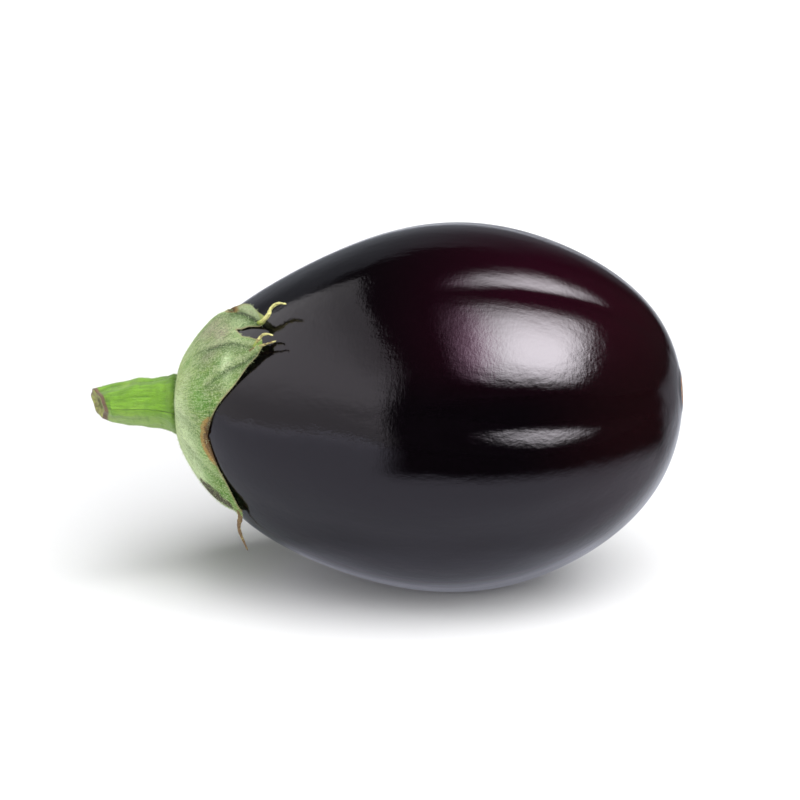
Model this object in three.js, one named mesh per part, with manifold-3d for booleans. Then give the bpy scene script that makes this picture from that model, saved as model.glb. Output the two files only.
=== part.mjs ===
// A globe eggplant lying on its side: the dark ribbed fruit, the green calyx and the cut stem.
//
// Millimetres, +Z up. The long axis lies along X, the stem points to -X and the blossom end to +X.
// The origin is the middle of the small flat spot that the fruit rests on, so the floor is z = 0.
//
// The fruit is an egg drawn by an angle along its axis (0 at the stem, 180 degrees at the blossom
// end) and an angle round it (0 toward -Y, 90 degrees up). The calyx and the stem are laid out in
// the same two angles, so every lobe follows the skin below it.

import * as THREE from "three";
import { mergeVertices } from "three/addons/utils/BufferGeometryUtils.js";
import Module from "manifold-3d";

const wasm = await Module();
wasm.setup();

const DEGREE = Math.PI / 180;

// Fruit
const HALF_LENGTH = 67.94; // from the middle to either end of the fruit
const RADIUS = 51.42; // of the widest round before the furrows are taken off
const BULGE = [-0.0945, -0.1547, 0.0644, 0.2007]; // how the egg departs from an ellipse
const BOW = -0.934; // the middle line sags by this much at both ends
const STEM_RISE = 5.8; // the stem end turns up by this much
const BLOSSOM_RISE = 2.19; // the blossom end turns up by this much
const END_TURN = 12; // how close to the end that turn is kept
const TILT = 4.784 * DEGREE; // the blossom end lies higher than the stem end
const REST_DEPTH = 0.5; // how much the weight of the fruit flattens it underneath

// Lengthwise furrows: where round the middle of the fruit, how much further round toward the ends,
// how deep, how wide, how rounded the bottom is, and how far along the fruit each of them begins
const FURROWS = [
  { at: 12.7, turn: 7.2, deep: 3.9, wide: 3.6, rounding: 2.2, from: 66 },
  { at: 52.9, turn: -11.2, deep: 4, wide: 5.3, rounding: 0.45, from: 77.5 },
  { at: 101, turn: 0, deep: 1.3, wide: 4.6, rounding: 3, from: 0 },
  { at: 146, turn: 0, deep: 1.7, wide: 4.6, rounding: 3, from: 0 },
  { at: 193, turn: 0, deep: 1.3, wide: 4.3, rounding: 3, from: 0 },
  { at: 245, turn: 0, deep: 1.1, wide: 4.6, rounding: 3, from: 0 },
  { at: 295, turn: 0, deep: 1.2, wide: 4.6, rounding: 3, from: 0 },
  { at: 332, turn: 0, deep: 1.6, wide: 4.6, rounding: 3, from: 0 },
];
const FURROW_RUN = 74.5; // degrees along the fruit over which a furrow reaches its full depth

// Blossom scar: a shallow dimple with a low lip round it
const SCAR_RADIUS = 4.4;
const SCAR_DEPTH = 1.1;
const SCAR_LIP = 0.35;

const FRUIT_ROWS = 34;
const FRUIT_SIDES = 96;
const END_CROWDING = 0.19; // rows are closer together toward both ends

// Calyx
const HOLE_ANGLE = 9.8; // along the fruit, where the calyx lets the stem through
const CROWN_LIFT = 0.35; // clear of the skin at the stem
const EDGE_LIFT = 0.35; // clear of the skin at the bays between lobes
const CROWN_THICKNESS = 1.85;
const LOWER_SIDE = 0.45; // how much fleshier the calyx is underneath, and thinner on top
const EDGE_THICKNESS = 0.7;
const COLLAR_HEIGHT = 1.5; // the ring that the calyx raises round the stem
const COLLAR_REACH = 8.8; // degrees along the fruit over which the ring falls away
const COLLAR_LEAN = 0.8; // degrees by which that ring leans in toward the stem
const FURROW_SHARE = 0.5; // how much of each furrow shows through the calyx
const THINNEST = 0.65; // a crease leaves at least this much of the calyx
const SHARED_ROWS = 8;
const LOBE_ROWS = 11;
const LOBE_COLUMNS = 12;
const TIP_HALF_WIDTH = 1.15; // millimetres, where a lobe hands over to its thread
const RIPPLE = 0.05; // how far the edge of a lobe waves, as a share of its width

// Bays between lobes, in order round the fruit, and the lobe that follows each of them.
// Places are [round, along]. "lift" is how far the tip stands off the skin, "curl" how far either
// edge rolls up, "rib" the height of the fleshy middle rib, "hollow" how hollow the edges are cut.
const LOBES = [
  { bay: [-62, 29.5], tip: [-38.5, 41], lift: 1.2, curl: [0.1, 0.1], rib: 0.5, hollow: 0.7 },
  { bay: [1.5, 28.9], tip: [46.2, 53.7], lift: 2.5, curl: [0.15, 0.3], rib: 0.8, hollow: 0.57 },
  { bay: [62.4, 42.6], tip: [56.2, 53.8], lift: 2.7, curl: [0.2, 1.9], rib: 0.6, hollow: 0.52 },
  { bay: [108, 35], tip: [143, 49], lift: 2.2, curl: [0.4, 0.5], rib: 0.35, hollow: 0.7 },
  { bay: [171, 33], tip: [206, 51], lift: 2.6, curl: [0.8, 0.4], rib: 0.5, hollow: 0.7 },
  { bay: [236, 33], tip: [256, 43], lift: 1.2, curl: [0.4, 0.2], rib: 0.4, hollow: 0.7 },
];

// Creases folded into the calyx: from one place to another, depth and half width
const CREASES = [
  { from: [62, 27], to: [58, 32], deep: 0.8, wide: 1.5 },
  { from: [58, 32], to: [53.5, 42], deep: 1.2, wide: 1.5 },
  { from: [53.5, 42], to: [47, 49], deep: 0.9, wide: 1.3 },
  { from: [34, 33], to: [39, 40], deep: 0.8, wide: 1.6 },
  { from: [39, 40], to: [42.5, 51], deep: 1.1, wide: 1.3 },
  { from: [76, 42], to: [57.5, 52.5], deep: 1.5, wide: 1.2 },
  { from: [84, 22], to: [90, 36], deep: 0.5, wide: 1.8 },
  { from: [12, 17], to: [3, 28], deep: 0.5, wide: 1.8 },
  { from: [-14, 20], to: [-22, 33], deep: 0.6, wide: 1.5 },
  { from: [126, 24], to: [136, 42], deep: 0.7, wide: 1.6 },
  { from: [188, 24], to: [198, 43], deep: 0.7, wide: 1.6 },
  { from: [216, 26], to: [211, 42], deep: 0.6, wide: 1.5 },
  { from: [248, 24], to: [254, 38], deep: 0.6, wide: 1.6 },
];

// Dried threads at the tips of the lobes: places [round, along, height over the skin]
const THREADS = [
  { radius: [1, 0.45], path: [[57.5, 51, 3.1], [56, 54, 3.4], [57, 58, 4.6], [57, 60, 5], [56, 62, 5]] },
  { radius: [0.85, 0.5], path: [[48.5, 51, 2.9], [47.6, 53.8, 3.4], [48.4, 55, 3.7], [45.2, 57.8, 4]] },
  { radius: [0.75, 0.42], path: [[44.5, 50.5, 2.3], [44, 54, 2.8], [43.6, 56, 3], [43, 58.2, 3.4]] },
  { radius: [0.95, 0.45], path: [[-37, 39, 1.5], [-42, 40, 1.9], [-52, 40, 3.3], [-66, 43, 6]] },
  { radius: [0.9, 0.5], path: [[143, 46.5, 2.1], [143.5, 50, 2.9], [146, 53.5, 4.4], [150, 56, 4.6]] },
  { radius: [0.9, 0.5], path: [[206, 48.5, 2.5], [206, 52, 3.3], [203, 56, 3.5], [200, 58.5, 4.2]] },
  { radius: [0.85, 0.5], path: [[256, 41, 1.2], [255, 44.5, 1.6], [252, 47, 1.8], [248, 49, 2]] },
];
const THREAD_SIDES = 6;
const THREAD_STEPS = 9;

// Stem
const STEM_LENGTH = 25.2; // from the skin to the middle of the cut
const STEM_FOOT_RADIUS = 7.7; // inside the calyx
const STEM_NECK_RADIUS = 6.5; // once clear of the calyx
const STEM_SWELL = 0.7; // where it comes out of the calyx
const STEM_BEND = 0.8; // its middle bends up by this much
const STEM_TIP_RADIUS = 4.9; // at the cut
const STEM_CLEARANCE = 0.35;
const STEM_RIDGES = 6;
const STEM_RIDGE_HEIGHT = 0.42;
const STEM_KNOB_HEIGHT = 0.28;
const STEM_ROWS = 24;
const STEM_SIDES = 48;
const CUT_TO_SIDE = 0.6; // the cut runs aslant: how much shorter the -Y side is, per millimetre
const CUT_TO_FLOOR = 0.12; // and how much shorter the lower side is
const CUT_REACH = 0.22; // share of the stem over which it narrows and shears toward the cut
const CUT_RIM_SIZES = [0.985, 0.95, 0.88, 0.79]; // narrowing from the stem to the outer rim
const CUT_FACE_SIZES = [0.68, 0.56, 0.3]; // rings of the cut face, from the rim inward
const CUT_FACE_DEPTHS = [0, 0.45, 0.7]; // how far each of them has sunk as the pith dried

// The value a given share of the way from a to b.
const mix = (a, b, share) => a + (b - a) * share;

// Smooth step from 0 to 1 between two ends.
function ease(low, high, value) {
  const share = Math.min(1, Math.max(0, (value - low) / (high - low)));
  return share * share * (3 - 2 * share);
}

// Radius of the smooth egg at an angle along it.
function eggRadius(along) {
  const c = Math.cos(along);
  const [first, second, third, fourth] = BULGE;
  const fullness = 1 + first * c + second * c ** 2 + third * c ** 3 + fourth * c ** 4;
  return RADIUS * Math.sin(along) * fullness;
}

// Height of the middle line of the egg at an angle along it.
function eggMiddle(along) {
  const c = Math.cos(along);
  const stemTurn = STEM_RISE * ((1 + c) / 2) ** END_TURN;
  const blossomTurn = BLOSSOM_RISE * ((1 - c) / 2) ** END_TURN;
  return BOW * c ** 2 + stemTurn + blossomTurn;
}

// Point of the smooth egg, before furrows.
function eggPoint(along, round) {
  const r = eggRadius(along);
  return new THREE.Vector3(
    -HALF_LENGTH * Math.cos(along),
    -r * Math.cos(round),
    eggMiddle(along) + r * Math.sin(round),
  );
}

// Outward direction of the smooth egg.
function eggNormal(along, round) {
  const step = 1e-3;
  const down = eggPoint(along + step, round).sub(eggPoint(along - step, round));
  const across = eggPoint(along, round + step).sub(eggPoint(along, round - step));
  return down.cross(across).normalize();
}

// Share of the radius that the furrows take off.
function furrowShare(along, round) {
  let share = 0;
  for (const { at, turn, deep, wide, rounding, from } of FURROWS) {
    const aside = round / DEGREE - at - turn * Math.cos(along);
    const distance = (aside - 360 * Math.round(aside / 360)) / wide;
    const shape = Math.exp(rounding - Math.hypot(distance, rounding));
    share += (deep / RADIUS) * shape * ease(from, from + FURROW_RUN, along / DEGREE);
  }
  return share * Math.sin(along);
}

// Point at a height over the skin, for the calyx, which bridges half of each furrow. In degrees.
function overSkin(round, along, height) {
  const a = along * DEGREE;
  const b = round * DEGREE;
  const point = eggPoint(a, b);
  const kept = 1 - FURROW_SHARE * furrowShare(a, b);
  point.y *= kept;
  point.z = eggMiddle(a) + (point.z - eggMiddle(a)) * kept;
  return point.addScaledVector(eggNormal(a, b), height);
}

// Point of the skin, with furrows and blossom scar.
function skinPoint(along, round) {
  const smooth = eggRadius(along);
  const r = smooth * (1 - furrowShare(along, round));
  const scar = along > Math.PI / 2 ? smooth / SCAR_RADIUS : Infinity;
  const dimple = SCAR_DEPTH * Math.exp(-((scar * 1.4) ** 2));
  const lip = SCAR_LIP * Math.exp(-(((scar - 1) / 0.35) ** 2));
  return new THREE.Vector3(
    -HALF_LENGTH * Math.cos(along) - dimple + lip,
    -r * Math.cos(round),
    eggMiddle(along) + r * Math.sin(round),
  );
}

// A geometry from a list of points and a list of triangles.
function geometryOf(points, triangles) {
  const geometry = new THREE.BufferGeometry();
  geometry.setAttribute("position", new THREE.Float32BufferAttribute(points.flatMap((p) => p.toArray()), 3));
  geometry.setIndex(triangles.flat());
  return geometry;
}

// A closed body from rings of points, each ring going round +X as seen from -X, ends closed by a point.
function closedRings(start, rings, end) {
  const sides = rings[0].length;
  const points = [start, ...rings.flat(), end];
  const last = points.length - 1;
  const triangles = [];
  for (let j = 0; j < sides; j += 1) {
    const next = (j + 1) % sides;
    triangles.push([0, 1 + j, 1 + next]);
    for (let i = 0; i < rings.length - 1; i += 1) {
      const a = 1 + i * sides;
      const b = a + sides;
      triangles.push([a + j, b + next, a + next], [a + j, b + j, b + next]);
    }
    const a = 1 + (rings.length - 1) * sides;
    triangles.push([last, a + next, a + j]);
  }
  return geometryOf(points, triangles);
}

// A solid from a closed geometry.
function solidOf(geometry) {
  const bare = geometry.clone();
  bare.deleteAttribute("normal");
  bare.deleteAttribute("uv");
  const welded = mergeVertices(bare, 1e-4);
  return new wasm.Manifold(new wasm.Mesh({
    numProp: 3,
    vertProperties: new Float32Array(welded.attributes.position.array),
    triVerts: new Uint32Array(welded.index.array),
  }));
}

// The geometry of a solid, with its normals.
function geometryFrom(solid) {
  const mesh = solid.getMesh();
  const geometry = new THREE.BufferGeometry();
  geometry.setAttribute("position", new THREE.BufferAttribute(new Float32Array(mesh.vertProperties), 3));
  geometry.setIndex(new THREE.BufferAttribute(new Uint32Array(mesh.triVerts), 1));
  geometry.computeVertexNormals();
  return geometry;
}

// The lowest point of the fruit once it is tilted, as { x, z } in the tilted frame.
function lowestPoint() {
  let lowest = { x: 0, z: Infinity };
  for (let along = 60; along < 120; along += 0.25) {
    for (let round = 240; round < 300; round += 0.25) {
      const point = skinPoint(along * DEGREE, round * DEGREE);
      const x = point.x * Math.cos(TILT) - point.z * Math.sin(TILT);
      const z = point.x * Math.sin(TILT) + point.z * Math.cos(TILT);
      if (z < lowest.z) {
        lowest = { x, z };
      }
    }
  }
  return lowest;
}

const LOWEST = lowestPoint();
const REST_LEVEL = LOWEST.z + REST_DEPTH;

// Everything below the resting plane, as a block turned into the frame of the fruit.
function belowRest() {
  const reach = 200;
  const block = new THREE.BoxGeometry(reach, reach, reach);
  block.translate(0, 0, REST_LEVEL - reach / 2);
  block.rotateY(TILT);
  return solidOf(block);
}

// The fruit: furrowed egg, blossom scar, flattened where it rests.
function fruitGeometry() {
  const rings = [];
  for (let i = 1; i < FRUIT_ROWS; i += 1) {
    const share = i / FRUIT_ROWS;
    const along = Math.PI * share - END_CROWDING * Math.sin(2 * Math.PI * share);
    const ring = [];
    for (let j = 0; j < FRUIT_SIDES; j += 1) {
      ring.push(skinPoint(along, (2 * Math.PI * j) / FRUIT_SIDES));
    }
    rings.push(ring);
  }
  const body = solidOf(closedRings(skinPoint(0, 0), rings, skinPoint(Math.PI, 0)));
  return geometryFrom(body.subtract(belowRest()));
}

// Distance in millimetres over the skin from a place to a crease.
function creaseDistance(round, along, crease) {
  const across = eggRadius(along * DEGREE) * DEGREE;
  const down = RADIUS * DEGREE;
  const px = (round - crease.from[0]) * across;
  const py = (along - crease.from[1]) * down;
  const vx = (crease.to[0] - crease.from[0]) * across;
  const vy = (crease.to[1] - crease.from[1]) * down;
  const share = Math.min(1, Math.max(0, (px * vx + py * vy) / (vx * vx + vy * vy)));
  return Math.hypot(px - share * vx, py - share * vy);
}

// How deep the creases press at a place.
function creaseDepth(round, along) {
  let depth = 0;
  for (const crease of CREASES) {
    const distance = creaseDistance(round, along, crease);
    depth = Math.max(depth, crease.deep * Math.exp(-((distance / crease.wide) ** 2)));
  }
  return depth;
}

// A place on a lobe. Row runs from the stem to the tip, column from one edge to the other.
function lobePlace(lobe, next, nextTurn, row, column) {
  const side = (2 * column) / LOBE_COLUMNS - 1;
  const turn = (side + 1) / 2;
  const [fromRound, fromAlong] = lobe.bay;
  const toRound = next.bay[0] + nextTurn;
  const toAlong = next.bay[1];
  const bayAlong = mix(fromAlong, toAlong, turn);
  const [tipRound, tipAlong] = lobe.tip;
  if (row <= SHARED_ROWS) {
    const share = row / SHARED_ROWS;
    const round = mix(fromRound, toRound, turn);
    return { round, along: mix(HOLE_ANGLE, bayAlong, share), side, shared: share, lobed: 0 };
  }
  const lobed = (row - SHARED_ROWS) / LOBE_ROWS;
  const closing = lobed ** lobe.hollow;
  const along = mix(bayAlong, tipAlong, lobed);
  const tipHalf = TIP_HALF_WIDTH / (eggRadius(tipAlong * DEGREE) * DEGREE);
  const wave = 1 + RIPPLE * Math.sin(lobed * 11 + fromRound) * (1 - lobed);
  const half = mix((toRound - fromRound) / 2, tipHalf, closing) * mix(1, wave, ease(0, 0.2, lobed));
  const middle = mix((fromRound + toRound) / 2, tipRound, closing);
  return { round: middle + side * half, along, side, shared: 1, lobed };
}

// How much of the ring round the stem is left at an angle along the fruit.
const collarShare = (along) => Math.exp(-(((along - HOLE_ANGLE) / COLLAR_REACH) ** 2));

// Heights of the under and the upper side of the calyx over the skin. A crease first thins the
// calyx and then bends all of it toward the skin.
function lobeHeights(lobe, place) {
  const { round, along, side, shared, lobed } = place;
  const reach = 0.55 * shared + 0.45 * lobed;
  const rolled = lobe.curl[side < 0 ? 0 : 1] * side ** 4 * ease(0, 0.35, lobed) * (1 - lobed);
  const base = mix(CROWN_LIFT, EDGE_LIFT, shared ** 2);
  const free = base + (lobe.lift - EDGE_LIFT) * lobed ** 1.6 + rolled;
  const rib = lobe.rib * (1 - side * side) ** 2 * Math.sin(Math.PI * Math.min(1, reach * 1.05)) ** 0.7;
  const collar = COLLAR_HEIGHT * collarShare(along);
  const crown = CROWN_THICKNESS - LOWER_SIDE * Math.sin(round * DEGREE);
  const thickness = mix(crown, EDGE_THICKNESS, ease(0.2, 0.85, reach)) + rib + collar;
  const crease = creaseDepth(round, along);
  const thinned = Math.min(0.6 * crease, thickness - THINNEST);
  const bent = Math.min(crease - thinned, free - CROWN_LIFT);
  return { under: free - bent, upper: free - bent + thickness - thinned };
}

// The sheet of the calyx: an upper and an under side for each lobe, joined along hole and edges.
function calyxSheet() {
  const points = [];
  const triangles = [];
  const rows = SHARED_ROWS + LOBE_ROWS;
  const width = LOBE_COLUMNS + 1;
  const quad = (a, b, c, d) => triangles.push([a, c, b], [a, d, c]);
  LOBES.forEach((lobe, k) => {
    const next = LOBES[(k + 1) % LOBES.length];
    const nextTurn = k + 1 === LOBES.length ? 360 : 0;
    const upper = points.length;
    const under = upper + (rows + 1) * width;
    for (const face of ["upper", "under"]) {
      for (let i = 0; i <= rows; i += 1) {
        for (let j = 0; j <= LOBE_COLUMNS; j += 1) {
          const place = lobePlace(lobe, next, nextTurn, i, j);
          const lean = face === "upper" ? COLLAR_LEAN * collarShare(place.along) : 0;
          points.push(overSkin(place.round, place.along - lean, lobeHeights(lobe, place)[face]));
        }
      }
    }
    const at = (base, i, j) => base + i * width + j;
    for (let i = 0; i < rows; i += 1) {
      for (let j = 0; j < LOBE_COLUMNS; j += 1) {
        quad(at(upper, i, j), at(upper, i, j + 1), at(upper, i + 1, j + 1), at(upper, i + 1, j));
        quad(at(under, i, j), at(under, i + 1, j), at(under, i + 1, j + 1), at(under, i, j + 1));
      }
      if (i >= SHARED_ROWS) {
        const end = LOBE_COLUMNS;
        quad(at(upper, i, 0), at(upper, i + 1, 0), at(under, i + 1, 0), at(under, i, 0));
        quad(at(upper, i, end), at(under, i, end), at(under, i + 1, end), at(upper, i + 1, end));
      }
    }
    for (let j = 0; j < LOBE_COLUMNS; j += 1) {
      quad(at(upper, 0, j), at(under, 0, j), at(under, 0, j + 1), at(upper, 0, j + 1));
      quad(at(upper, rows, j), at(upper, rows, j + 1), at(under, rows, j + 1), at(under, rows, j));
    }
  });
  return geometryOf(points, triangles);
}

// A dried thread: a thin tapering rod along a smooth path.
function threadGeometry(thread) {
  const path = new THREE.CatmullRomCurve3(thread.path.map((place) => overSkin(...place)));
  const frames = path.computeFrenetFrames(THREAD_STEPS, false);
  const rings = [];
  for (let i = 0; i <= THREAD_STEPS; i += 1) {
    const share = i / THREAD_STEPS;
    const centre = path.getPointAt(share);
    const radius = mix(thread.radius[0], thread.radius[1], share);
    const ring = [];
    for (let j = 0; j < THREAD_SIDES; j += 1) {
      const angle = (-2 * Math.PI * j) / THREAD_SIDES;
      const point = centre.clone();
      point.addScaledVector(frames.normals[i], radius * Math.cos(angle));
      point.addScaledVector(frames.binormals[i], radius * Math.sin(angle));
      ring.push(point);
    }
    rings.push(ring);
  }
  return closedRings(path.getPointAt(0), rings, path.getPointAt(1));
}

// The calyx: its sheet with the threads grown onto the tips.
function calyxGeometry() {
  let body = solidOf(calyxSheet());
  for (const thread of THREADS) {
    body = body.add(solidOf(threadGeometry(thread)));
  }
  return geometryFrom(body);
}

// Radius of the stem at a share of its length and an angle round it.
function stemRadius(share, angle) {
  const swell = STEM_SWELL * Math.exp(-(((share - 0.135) / 0.05) ** 2));
  const neck = mix(STEM_FOOT_RADIUS, STEM_NECK_RADIUS, ease(0.14, 0.38, share)) + swell;
  const round = mix(neck, STEM_TIP_RADIUS, ease(0.4, 0.95, share));
  const free = ease(0.14, 0.3, share);
  const ridges = STEM_RIDGE_HEIGHT * Math.cos(STEM_RIDGES * angle + 1.6 * share);
  const knobs = STEM_KNOB_HEIGHT * Math.sin(9 * share + 2 * angle) * Math.sin(15 * share - angle + 1);
  return round + free * (ridges + knobs);
}

// A ring of the stem at a share of its length, scaled and sunk by the given amounts.
function stemRing(share, size, sunk) {
  const cut = ease(1 - CUT_REACH, 1, share);
  const ring = [];
  for (let j = 0; j < STEM_SIDES; j += 1) {
    const angle = (2 * Math.PI * j) / STEM_SIDES;
    const radius = stemRadius(share, angle) * size;
    const side = radius * Math.cos(angle);
    const up = radius * Math.sin(angle);
    const shear = cut * (CUT_TO_SIDE * side - CUT_TO_FLOOR * up);
    ring.push(stemAxis(share).add(new THREE.Vector3(shear + sunk, -side, up)));
  }
  return ring;
}

// Middle of the stem at a share of its length.
function stemAxis(share) {
  const reach = share * STEM_LENGTH;
  const bend = STEM_BEND * Math.sin(Math.PI * Math.min(1, share / 0.8));
  const level = eggMiddle(HOLE_ANGLE * DEGREE) + reach * Math.sin(TILT) + bend;
  return new THREE.Vector3(-HALF_LENGTH - STEM_CLEARANCE - reach, 0, level);
}

// The stem: ridged and knobbly, cut aslant, with sunken pith inside the rim of the cut.
function stemGeometry() {
  const rings = [];
  for (let i = 0; i <= STEM_ROWS; i += 1) {
    rings.push(stemRing(((1 - CUT_REACH) * i) / STEM_ROWS, 1, 0));
  }
  CUT_RIM_SIZES.forEach((size, i) => {
    rings.push(stemRing(1 - CUT_REACH * (1 - (i + 1) / CUT_RIM_SIZES.length), size, 0));
  });
  CUT_FACE_SIZES.forEach((size, i) => rings.push(stemRing(1, size, CUT_FACE_DEPTHS[i])));
  const pith = stemAxis(1);
  pith.x += CUT_FACE_DEPTHS.at(-1);
  return closedRings(pith, rings.reverse(), stemAxis(0));
}

// Glossy skin, almost black with purple in it.
function skinMaterial() {
  return new THREE.MeshStandardMaterial({ color: 0x1c0f1a, roughness: 0.16, metalness: 0 });
}

// Felted grey-green of the calyx.
function calyxMaterial() {
  return new THREE.MeshStandardMaterial({ color: 0x8cab72, roughness: 0.78, metalness: 0 });
}

// Bright green of the stalk.
function stemMaterial() {
  return new THREE.MeshStandardMaterial({ color: 0x7ba53f, roughness: 0.6, metalness: 0 });
}

// A named mesh with smooth shading.
function piece(name, geometry, material) {
  geometry.computeVertexNormals();
  const mesh = new THREE.Mesh(geometry, material);
  mesh.name = name;
  return mesh;
}

const eggplant = new THREE.Group();
eggplant.name = "eggplant";

const lying = new THREE.Group();
lying.name = "lying";
lying.rotation.y = -TILT;
lying.position.set(-LOWEST.x, 0, -REST_LEVEL);
lying.add(
  piece("fruit", fruitGeometry(), skinMaterial()),
  piece("calyx", calyxGeometry(), calyxMaterial()),
  piece("stem", stemGeometry(), stemMaterial()),
);
eggplant.add(lying);

export default eggplant;
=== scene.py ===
# %% [markdown]
# # A globe eggplant
#
# The eggplant lies on its side: a dark glossy fruit with shallow lengthwise ribs, a felted green
# calyx with six pointed lobes, and a short ribbed stem that was cut aslant. The solids of the
# part are loaded first, as a fixed frame in metres. Each of them is then replaced by a finer
# piece drawn by the same rules, so the looks and the solids agree. Only the dried edges of the
# lobes, which roll up and settle more here, run up to 2.5 mm beside those of the solid.

import math

import bmesh
import bpy
import numpy as np
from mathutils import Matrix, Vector


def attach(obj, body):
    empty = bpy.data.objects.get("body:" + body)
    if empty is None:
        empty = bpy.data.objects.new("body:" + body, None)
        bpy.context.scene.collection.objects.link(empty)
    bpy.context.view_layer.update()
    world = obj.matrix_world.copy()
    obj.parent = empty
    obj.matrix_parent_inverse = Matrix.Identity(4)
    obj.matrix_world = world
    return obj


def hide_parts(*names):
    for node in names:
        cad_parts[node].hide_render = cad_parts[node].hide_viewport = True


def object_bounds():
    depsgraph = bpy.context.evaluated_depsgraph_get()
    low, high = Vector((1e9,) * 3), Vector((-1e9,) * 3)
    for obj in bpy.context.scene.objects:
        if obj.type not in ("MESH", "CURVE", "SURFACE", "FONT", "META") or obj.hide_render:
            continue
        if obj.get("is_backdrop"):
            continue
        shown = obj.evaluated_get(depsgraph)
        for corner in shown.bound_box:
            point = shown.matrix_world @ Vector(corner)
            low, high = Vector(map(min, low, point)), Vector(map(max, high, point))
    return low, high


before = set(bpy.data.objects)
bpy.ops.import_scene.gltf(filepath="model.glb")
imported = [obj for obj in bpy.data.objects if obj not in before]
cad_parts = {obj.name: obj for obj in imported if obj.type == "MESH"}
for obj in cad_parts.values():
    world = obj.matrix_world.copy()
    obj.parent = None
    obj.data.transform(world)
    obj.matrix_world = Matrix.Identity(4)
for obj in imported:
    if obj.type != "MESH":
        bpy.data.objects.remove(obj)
CAD_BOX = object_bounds()
print("solids:", sorted(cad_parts), "box:", CAD_BOX)

MM = 0.001  # the shapes below are worked out in millimetres
DEGREE = math.pi / 180

# %% [markdown]
# ## The egg
#
# A fruit that grew round an axis is easiest to draw with two angles: one along it, 0 at the stem
# and 180 degrees at the blossom end, and one round it, 0 toward -Y and 90 degrees up. A sculpted
# mesh would look as good, but every other piece has to lie on the skin, and with a formula each
# of them can ask where the skin is. The formula starts from an ellipse; four small terms fatten
# or thin it along its length, and the furrows are bells cut into its radius.

# %% The rule of the egg
HALF_LENGTH = 67.94
RADIUS = 51.42
BULGE = (-0.0945, -0.1547, 0.0644, 0.2007)  # the four terms that change its girth
BOW = -0.934  # how far the axis sags toward both ends
STEM_RISE = 5.8  # how far each end turns up
BLOSSOM_RISE = 2.19
END_TURN = 12  # the higher, the closer to the ends that turn stays
TILT = 4.784 * DEGREE
REST_DEPTH = 0.5  # how much of the underside the table presses flat
FURROWS = (  # at, turn toward the ends, deep, wide, rounding, and where along it begins
    (12.7, 7.2, 3.9, 3.6, 2.2, 66),
    (52.9, -11.2, 4, 5.3, 0.45, 77.5),
    (101, 0, 1.3, 4.6, 3, 0),
    (146, 0, 1.7, 4.6, 3, 0),
    (193, 0, 1.3, 4.3, 3, 0),
    (245, 0, 1.1, 4.6, 3, 0),
    (295, 0, 1.2, 4.6, 3, 0),
    (332, 0, 1.6, 4.6, 3, 0),
)
FURROW_RUN = 74.5  # degrees along over which a furrow reaches its depth


def mix(a, b, share):
    """From a to b by a share."""
    return a + (b - a) * share


def ease(low, high, value):
    """0 below low, 1 above high, smooth between."""
    share = np.clip((value - low) / (high - low), 0, 1)
    return share * share * (3 - 2 * share)


def bell(value):
    """1 at zero, fading to either side."""
    return np.exp(-(value**2))


def egg_radius(along):
    """Half the girth of the egg, before its furrows."""
    c = np.cos(along)
    fullness = 1 + sum(term * c ** (power + 1) for power, term in enumerate(BULGE))
    return RADIUS * np.sin(along) * fullness


def egg_middle(along):
    """How high its middle line lies."""
    c = np.cos(along)
    stem_turn = STEM_RISE * ((1 + c) / 2) ** END_TURN
    blossom_turn = BLOSSOM_RISE * ((1 - c) / 2) ** END_TURN
    return BOW * c**2 + stem_turn + blossom_turn


def furrow_share(along, around):
    """The share of the radius that the furrows cut away."""
    share = 0
    for at, turn, deep, wide, rounding, begin in FURROWS:
        aside = around / DEGREE - at - turn * np.cos(along)
        distance = (aside - 360 * np.round(aside / 360)) / wide
        shape = np.exp(rounding - np.hypot(distance, rounding))
        share = share + deep / RADIUS * shape * ease(begin, begin + FURROW_RUN, along / DEGREE)
    return share * np.sin(along)


print("furrows:", len(FURROWS), "deepest:", max(deep for at, turn, deep, *rest in FURROWS), "mm")


# %% Points on the egg and over it
def egg_point(along, around, furrowed=0.0):
    """Points of the egg, with a share of its furrows."""
    r = egg_radius(along) * (1 - furrowed * furrow_share(along, around))
    x = -HALF_LENGTH * np.cos(along) + 0 * around
    return np.stack([x, -r * np.cos(around), egg_middle(along) + r * np.sin(around)], -1)


def egg_normal(along, around):
    """Directions straight out of the smooth egg, from its two slopes at each place."""
    step = 1e-3
    down = egg_point(along + step, around) - egg_point(along - step, around)
    across = egg_point(along, around + step) - egg_point(along, around - step)
    normal = np.cross(down, across)
    return normal / np.linalg.norm(normal, axis=-1, keepdims=True)


def over_skin(around, along, height):
    """Points at a height over the skin, which bridge half of each furrow. Angles in degrees."""
    a, b = np.asarray(along, float) * DEGREE, np.asarray(around, float) * DEGREE
    return egg_point(a, b, 0.5) + egg_normal(a, b) * np.asarray(height, float)[..., None]


def tilted(points):
    """From the frame of the egg to the tilted one, before it is set down."""
    x, y, z = np.moveaxis(points, -1, 0)
    c, s = math.cos(TILT), math.sin(TILT)
    return np.stack([x * c - z * s, y, x * s + z * c], -1)


nearby = np.meshgrid(
    np.arange(60, 120, 0.25) * DEGREE, np.arange(240, 300, 0.25) * DEGREE, indexing="ij")
underside = tilted(egg_point(*nearby, 1.0))
lowest = underside.reshape(-1, 3)[underside[..., 2].argmin()]
SET_DOWN = np.array([-lowest[0], 0, -(lowest[2] + REST_DEPTH)])


def laid(points):
    """Points of the egg's frame as they lie on the floor, in metres."""
    return (tilted(points) + SET_DOWN) * MM


print("the egg touches down at", lowest, "and is moved by", SET_DOWN)

# %% [markdown]
# ## Making meshes from rings
#
# Everything here is a grid of points, row after row. A helper turns such grids into meshes and
# stores numbers on their points, such as how near the edge of a lobe a point lies, for the
# finishes to read. Painted masks would need a UV map for each piece; numbers on points need none.


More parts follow.
